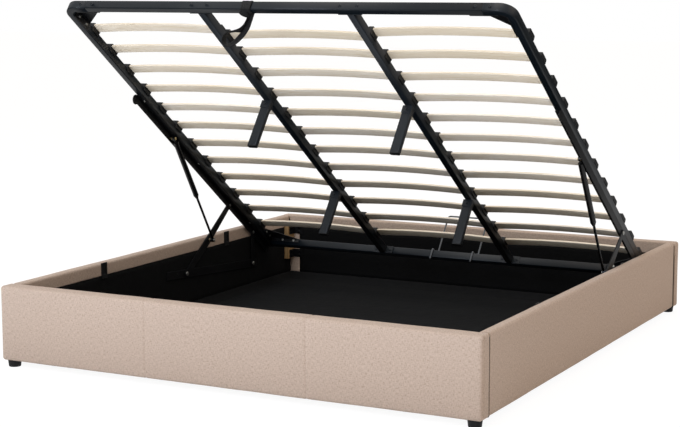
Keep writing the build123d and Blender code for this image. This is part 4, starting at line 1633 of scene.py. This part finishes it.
@dataclass
class FloorCloth:
    """Black cloth on the ground inside the walls, its hem taken up along them.

    It lies smooth where the legs of the lid come down when the lid is shut.
    """

    thickness: float = 0.0016
    rise: float = 0.031
    rise_width: float = 0.035
    ground_gap: float = 0.0032
    side_gap: float = 0.0004
    wrinkle: float = 0.0035
    edge_calm: float = 0.12
    fold_scale: tuple[float, float] = (1.6, 3.2)
    fold_slice: float = 1.7
    fine_share: float = 0.5
    fine_scale: float = 2.7
    crowding: float = 0.11
    landings: tuple[tuple[float, float], ...] = ((-0.3, -0.3245), (0.3, -0.3245),
                                                 (-0.3, 0.373), (0.3, 0.373))
    landing_reach: tuple[float, float] = (0.035, 0.12)
    columns: int = 110
    rows: int = 122

    def height(self, x: float, y: float, low: Vector, high: Vector) -> float:
        """Gives the cloth's height at a spot.

        Args:
            x: Place across.
            y: Place along.
            low: Lowest corner of the cloth.
            high: Highest corner of the cloth.

        Returns:
            Height of the cloth's upper side.
        """
        edge = min(x - low.x, high.x - x, y - low.y, high.y - y)
        lift = max(0.0, 1 - edge / self.rise_width) ** 2
        spot = Vector((x * self.fold_scale[0], y * self.fold_scale[1], self.fold_slice))
        fine = abs(noise.noise(spot * self.fine_scale))
        fold = abs(noise.noise(spot)) + self.fine_share * fine
        near = min(math.dist((x, y), landing) for landing in self.landings)
        clear, reach = self.landing_reach
        calm = min(1.0, edge / self.edge_calm) * min(1.0, max(0.0, (near - clear) / reach))
        return self.ground_gap + self.rise * lift + self.wrinkle * fold * calm

    def build(self, cloth: Material) -> None:
        """Makes the cloth.

        Args:
            cloth: Its material.
        """
        low, high = (corner.copy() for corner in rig.box("floor_cloth"))

        def spot(row: int, column: int) -> tuple[float, float, float]:
            """Place of a point of the cloth's upper side."""
            y = self._spread(low.y, high.y, row / self.rows)
            x = self._spread(low.x, high.x, column / self.columns)
            return x, y, self.height(x, y, low, high)

        sheet = faced(grid_mesh(self.rows, self.columns, spot), 2, 1)
        mesh = smooth(backed(sheet, self.thickness))
        obj = piece("floor_cloth_laid", mesh, cloth, "base", "floor_cloth",
                    ["floor_cloth", "floor_cloth_hems"])
        flat = (high.x - low.x + self.rise, high.y - low.y + self.rise)
        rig.sheet(obj, flat=flat, held="laid", rests_on=["left_panel_board"])

    def _spread(self, low: float, high: float, share: float) -> float:
        """Place of a mesh line, with lines closer together near the walls."""
        eased = share - self.crowding * math.sin(2 * math.pi * share)
        return low + self.side_gap + (high - low - 2 * self.side_gap) * eased


@dataclass
class PullStrap:
    """Webbing wrapped round the foot rail, with a hand loop that hangs from it.

    The loop leans to the left and is half turned, as handling leaves it. Its path is given
    by stations: millimetres to the side, down and back, and degrees of turn.
    """

    x: float = -0.102
    width: float = 0.04
    thickness: float = 0.002
    lean: float = math.radians(28)
    rail_middle: tuple[float, float] = (0.014, 0.017)
    wrap_reach: tuple[float, float] = (0.0165, 0.0195)
    wrap_steps: int = 32
    fold_share: float = 0.6
    front: tuple[Station, ...] = (
        (9, 17, 0, 36), (9, 27, 0, 54), (5, 47, -2, 64), (-3, 68, -3, 62),
        (-18, 91, -4, 60), (-39, 114, -4, 64), (-54, 126, -4, 70), (-70, 132, -3, 74),
        (-82, 126, -1, 74))
    behind: tuple[Station, ...] = (
        (-86, 112, 2, 70), (-82, 98, 5, 74), (-70, 87, 7, 80), (-51, 83, 9, 78),
        (-34, 81, 11, 68), (-20, 76, 12, 60), (-6, 62, 12, 60), (4, 42, 10, 61),
        (8, 24, 6, 60), (8, 14, 4, 60))
    slack: tuple[Station, ...] = (
        (-26, 12, -6, 30), (-19, 19, -9, 36), (-8, 24, -10, 36), (3, 25, -8, 36),
        (9, 17, -5, 30))

    def stations(self, middle: Vector, path: Sequence[Station]
                 ) -> list[tuple[Vector, Vector]]:
        """Places a run of the webbing in the leaning plane of the loop.

        Args:
            middle: Middle of the foot rail under the webbing.
            path: Stations of the run.

        Returns:
            Places and directions across, in order.
        """
        side = Vector((math.cos(self.lean), math.sin(self.lean), 0))
        back = Vector((-math.sin(self.lean), math.cos(self.lean), 0))
        above = Vector((0, 0, 1))
        spots = [middle + (side * sideways + back * depth - above * down) / 1000
                 for sideways, down, depth, _ in path]
        result = []
        for number, spot in enumerate(spots):
            way = spots[min(number + 1, len(spots) - 1)] - spots[max(number - 1, 0)]
            across = (above * (way @ side) - side * way.z).normalized()
            angle = math.radians(path[number][3])
            result.append((spot, across * math.cos(angle) - back * math.sin(angle)))
        return result

    def wrap(self, middle: Vector) -> list[tuple[Vector, Vector]]:
        """Places the turn round the rail."""
        turn = LID_PLACE.to_3x3()
        result = []
        for step in range(self.wrap_steps + 1):
            angle = 2 * math.pi * step / self.wrap_steps
            wide = Vector((0, self.wrap_reach[0] * squared(math.cos(angle)),
                           self.wrap_reach[1] * squared(math.sin(angle))))
            result.append((middle + turn @ wide, Vector((1, 0, 0))))
        return result

    def build(self, webbing: Material) -> None:
        """Makes the turn round the rail, the slack fold under it and the loop.

        Args:
            webbing: Its material.
        """
        rail_y, rail_z = self.rail_middle
        middle = LID_PLACE @ Vector((self.x, rail_y - LID_LENGTH, rail_z))
        ribbon = Ribbon(self.width, self.thickness)
        fold = Ribbon(self.width * self.fold_share, self.thickness)
        work = bmesh.new()
        for mesh in (ribbon.mesh(self.wrap(middle)),
                     ribbon.mesh(smoothed(self.stations(middle, self.front + self.behind))),
                     fold.mesh(smoothed(self.stations(middle, self.slack)))):
            work.from_mesh(mesh)
        mesh = smooth(closed(work, "pull_strap"))
        piece("pull_strap_webbing", mesh, webbing, "lid", "strap", ["pull_strap"])


def squared(value: float, power: float = 0.35) -> float:
    """Bends a sine towards a square wave, for a wrap round a rectangular tube."""
    return math.copysign(abs(value) ** power, value)


def smoothed(line: Sequence[tuple[Vector, Vector]], steps: int = 6
             ) -> list[tuple[Vector, Vector]]:
    """Fills in a smooth run between the stations of a ribbon.

    Args:
        line: Places and directions across, in order.
        steps: Stations in the new run for each one in the old.

    Returns:
        The same run with more stations.
    """
    result = []
    for number in range(len(line) - 1):
        before = line[max(number - 1, 0)]
        start, end = line[number], line[number + 1]
        after = line[min(number + 2, len(line) - 1)]
        for step in range(steps):
            t = step / steps
            weights = (-0.5 * t + t * t - 0.5 * t ** 3, 1 - 2.5 * t * t + 1.5 * t ** 3,
                       0.5 * t + 2 * t * t - 1.5 * t ** 3, -0.5 * t * t + 0.5 * t ** 3)
            spot = sum((station[0] * weight for station, weight in
                        zip((before, start, end, after), weights)), Vector())
            across = start[1].lerp(end[1], t).normalized()
            result.append((spot, across))
    result.append(line[-1])
    return result


@dataclass
class Ribbon:
    """Flat band that follows a line of stations."""

    width: float
    thickness: float
    columns: int = 8
    ripple: float = 0.0011
    rim_share: float = 0.35
    fold_scale: tuple[float, float] = (2.4, 14)
    fold_slice: float = 0.7

    def mesh(self, stations: Sequence[tuple[Vector, Vector]]) -> Mesh:
        """Makes the band, with slight folds along it.

        Args:
            stations: Places and directions across, in order.

        Returns:
            A closed mesh with a UV map in metres, across and along.
        """
        verts, distances = [], [0.0]
        shares = [2 * column / self.columns - 1 for column in range(self.columns + 1)]
        around = 2 * len(shares)
        for number, (spot, across) in enumerate(stations):
            if number:
                distances.append(distances[-1] + (spot - stations[number - 1][0]).length)
            ahead = stations[min(number + 1, len(stations) - 1)][0]
            behind = stations[max(number - 1, 0)][0]
            out = (ahead - behind).cross(across).normalized()
            for level, row in ((1, shares), (-1, shares[::-1])):
                for share in row:
                    edge = self.rim_share if abs(share) == 1 else 0.5
                    fold = noise.noise(Vector((
                        share * self.fold_scale[0], distances[-1] * self.fold_scale[1],
                        self.fold_slice)))
                    verts.append(spot + across * (share * self.width / 2)
                                 + out * (level * edge * self.thickness
                                          + self.ripple * fold))
        work = bmesh.new()
        work.from_mesh(mesh_from(verts, faces=tube_faces(len(stations), around)))
        bmesh.ops.recalc_face_normals(work, faces=work.faces)
        mesh = closed(work, "ribbon")
        places = [(share + 1) * self.width / 2 for share in shares + shares[::-1]]
        layer = mesh.uv_layers.new(name="weave")
        for loop in mesh.loops:
            station, corner = divmod(loop.vertex_index, around)
            layer.data[loop.index].uv = (places[corner], distances[station])
        return mesh


@dataclass
class WallFittings:
    """Feet, corner cleats and angles, and the guides on the side walls."""

    foot_edge: float = 0.0018
    cleat_edge: float = 0.0008
    bracket_edge: float = 0.0005
    guide_edge: float = 0.001

    def build(self, plastic: Material, timber: Material, black: Material) -> None:
        """Dresses the fittings of the walls.

        Args:
            plastic: Finish of the feet and guides.
            timber: Finish of the cleats.
            black: Finish of the angles.
        """
        remade("corner_feet", self.foot_edge, plastic, "foot", 3)
        remade("corner_cleats", self.cleat_edge, timber, "cleat")
        remade("corner_brackets", self.bracket_edge, black, "black_steel")
        remade("lid_guides", self.guide_edge, plastic, "holder")


@dataclass(frozen=True)
class Lamp:
    """Soft square lamp, its way being the direction that it faces."""

    name: str
    place: tuple[float, float, float]
    way: tuple[float, float, float]
    size: float
    watts: float
    colour: str

    def hang(self) -> None:
        """Puts the lamp in the scene."""
        data = bpy.data.lights.new(self.name, "AREA")
        data.color = linear(self.colour)[:3]
        data.size = self.size
        data.energy = self.watts
        obj = linked(self.name, data)
        obj.location = self.place
        obj.rotation_euler = Vector(self.way).to_track_quat("-Z", "Y").to_euler()


@dataclass
class Studio:
    """Plain white studio with the photograph's camera."""

    lens: float = 87.93
    sensor: float = 36.0
    camera_place: tuple[float, float, float] = (2.9223, -5.7388, 1.4039)
    view_way: tuple[float, float, float] = (-0.46249, 0.87547, -0.14016)
    roll: float = math.radians(-0.16)
    floor_reach: float = 30.0
    floor_glow: float = 1.1
    floor_glow_share: float = 0.85
    pool_glow: float = 0.65
    pool_reach: tuple[float, float] = (3.0, 7.5)
    world_light: float = 0.54
    metal_horizon: float = 0.5
    metal_ground: float = 0.03
    lamps: tuple[Lamp, ...] = (
        Lamp("key", (-1.6, -6.8, 4.6), (1.6, 6.8, -4.2), 3.0, 305.0, "#E8F1FF"),
        Lamp("fill", (4.5, 1.0, 4.5), (-4.5, -1.0, -4.1), 3.0, 36.0, "#FFE2C6"),
        Lamp("bounce", (0.2, -3.3, 0.03), (0.0, 0.0, 1.0), 3.5, 56.0, "#F0F5FF"),
        Lamp("overhead", (0.0, -0.6, 4.6), (0.0, 0.0, -1.0), 3.0, 64.0, "#FFF8F0"))

    def camera(self) -> None:
        """Sets up the camera."""
        data = bpy.data.cameras.new("camera")
        data.lens = self.lens
        data.sensor_width = self.sensor
        obj = linked("camera", data)
        obj.location = self.camera_place
        turn = Vector(self.view_way).to_track_quat("-Z", "Y")
        obj.rotation_euler = (turn.to_matrix().to_4x4()
                              @ Matrix.Rotation(self.roll, 4, "Z")).to_euler()
        bpy.context.scene.camera = obj

    @staticmethod
    def _seen(tree: NodeTree) -> NodeSocket:
        """Gives one for rays from the camera, from metal and through glass."""
        path = add_node(tree, "ShaderNodeLightPath").outputs
        seen = path["Is Camera Ray"]
        for ray in ("Is Glossy Ray", "Is Transmission Ray"):
            values = {"operation": "MAXIMUM", 0: seen, 1: path[ray]}
            seen = add_node(tree, "ShaderNodeMath", values).outputs[0]
        return seen

    @staticmethod
    def _between(tree: NodeTree, share: NodeSocket,
                 low: NodeSocket | float,
                 high: NodeSocket | float) -> NodeSocket:
        """Mixes two numbers by a share.

        Args:
            tree: Tree of the shader.
            share: Share of the second number.
            low: First number, or the socket that gives it.
            high: Second number, or the socket that gives it.

        Returns:
            The socket of the mixed number.
        """
        values = {"data_type": "FLOAT", 0: share, 2: low, 3: high}
        return add_node(tree, "ShaderNodeMix", values).outputs[0]

    def world(self) -> None:
        """Lights the room evenly, shows it white and dims it near the ground for metal."""
        world = bpy.data.worlds.new("studio")
        tree = cleared(world)
        seen = self._seen(tree)
        way = add_node(tree, "ShaderNodeTexCoord").outputs["Generated"]
        height = add_node(tree, "ShaderNodeSeparateXYZ", {0: way}).outputs[2]
        overhead = add_node(tree, "ShaderNodeMapRange",
                            {"From Max": self.metal_horizon, "To Min": self.metal_ground,
                             "To Max": 1.0, "Value": height}).outputs[0]
        glossy = add_node(tree, "ShaderNodeLightPath").outputs["Is Glossy Ray"]
        shown = self._between(tree, glossy, 1.0, overhead)
        strength = self._between(tree, seen, self.world_light, shown)
        tone = add_node(tree, "ShaderNodeMix",
                        {"data_type": "RGBA", 6: linear("#FFEFE2"), 7: linear("#FFFFFF"),
                         0: seen})
        shade = add_node(tree, "ShaderNodeBackground",
                         {"Color": tone.outputs[2], "Strength": strength})
        add_node(tree, "ShaderNodeOutputWorld", {"Surface": shade.outputs[0]})
        bpy.context.scene.world = world

    def floor(self) -> None:
        """Lays a white floor that keeps the bed's shadow and fades away for metal."""
        material = bpy.data.materials.new("studio_floor")
        tree = cleared(material)
        matt = add_node(tree, "ShaderNodeBsdfDiffuse", {"Color": linear("#F2F2F2")})
        spot = add_node(tree, "ShaderNodeTexCoord").outputs["Object"]
        away = add_node(tree, "ShaderNodeVectorMath", {"operation": "LENGTH", 0: spot})
        pool = add_node(tree, "ShaderNodeMapRange",
                        {"From Min": self.pool_reach[0], "From Max": self.pool_reach[1],
                         "To Min": self.pool_glow, "To Max": 0.0,
                         "Value": away.outputs["Value"]}).outputs[0]
        glossy = add_node(tree, "ShaderNodeLightPath").outputs["Is Glossy Ray"]
        strength = self._between(tree, glossy, self.floor_glow, pool)
        glow = add_node(tree, "ShaderNodeEmission",
                        {"Color": linear("#FFFFFF"), "Strength": strength})
        seen = self._between(tree, self._seen(tree), 0.0, self.floor_glow_share)
        share = self._between(tree, glossy, seen, 1.0)
        both = add_node(tree, "ShaderNodeMixShader",
                        {0: share, 1: matt.outputs[0], 2: glow.outputs[0]})
        add_node(tree, "ShaderNodeOutputMaterial", {"Surface": both.outputs[0]})
        reach = self.floor_reach
        mesh = mesh_from([(-reach, -reach, 0), (reach, -reach, 0), (reach, reach, 0),
                          (-reach, reach, 0)], faces=[(0, 1, 2, 3)])
        mesh.materials.append(material)
        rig.stage(linked("studio_floor", mesh))

    def build(self) -> None:
        """Sets up the whole studio."""
        bpy.context.scene.view_settings.view_transform = "Standard"
        self.camera()
        self.world()
        self.floor()
        for lamp in self.lamps:
            lamp.hang()


def main() -> None:
    """Builds the bed in its studio, piece by piece."""
    logging.basicConfig(level=logging.INFO, format="%(name)s: %(message)s")
    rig.load()
    model_box = [list(corner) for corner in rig.bounds()]
    Studio().build()
    steel = PowderCoat("grey_powder_coat", "#0A1117", "#111A22", 0.38, 0.28).material()
    black = PowderCoat("black_powder_coat", "#0B0C0E", "#121417", 0.4, 0.26).material()
    lacquer = PowderCoat("black_lacquer", "#0B0B0C", "#141516", 0.25, 0.4).material()
    wire = PowderCoat("grey_wire_coat", "#4E545A", "#666C72", 0.35).material()
    zinc = PlatedSteel("zinc_plate", "#C9C9C4", "#9C9B93", 0.3).material()
    brass = PlatedSteel("yellow_zinc_plate", "#CDB98A", "#A08C5E", 0.32).material()
    dark_zinc = PlatedSteel("black_zinc_plate", "#2A2A2B", "#1B1B1C", 0.36).material()
    rod = PlatedSteel("nitrided_rod", "#2A2B2D", "#1D1E20", 0.25).material()
    plastic = MouldedPlastic("black_moulding", "#0F1011").material()
    wood = SlatVeneer().material()
    timber = RawTimber("raw_pine", "#B99A6E", "#8F744C").material()
    board = RawTimber("raw_board", "#B79C74", "#9A7F5A").material()
    cloth = WovenUpholstery().material()
    lining = BlackNonwoven("lining_cloth", "#08090A", "#101112").material()
    floor_cloth = BlackNonwoven("floor_cloth", "#0E0F10", "#161718").material()
    webbing = Webbing().material()
    heads = Fasteners()
    Upholstery().build(cloth, lining)
    for wall in Wall:
        show(f"{wall.value}_panel_board", board)
    FloorCloth().build(floor_cloth)
    WallFittings().build(plastic, timber, black)
    LidFrame().build(steel, black, wire)
    SlatField().build(wood, plastic)
    LiftGear().build(black, lacquer, rod, zinc, brass, heads)
    heads.dress("frame_bolts", Tool.HEX_KEY, zinc, "zinc", steel, painted_with_frame)
    heads.dress("lid_bracket_bolts", Tool.HEX_KEY, zinc, "zinc")
    heads.dress("corner_bolts", Tool.HEX_KEY, dark_zinc, "zinc")
    heads.dress("base_plate_screws", Tool.CROSS_DRIVER, black, "black_steel")
    PullStrap().build(webbing)
    visual_box = [list(corner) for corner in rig.bounds()]
    with open(SIZE_FILE, "w", encoding="utf-8") as out:
        json.dump({"model": model_box, "visual": visual_box}, out)


if __name__ == "__main__":
    main()
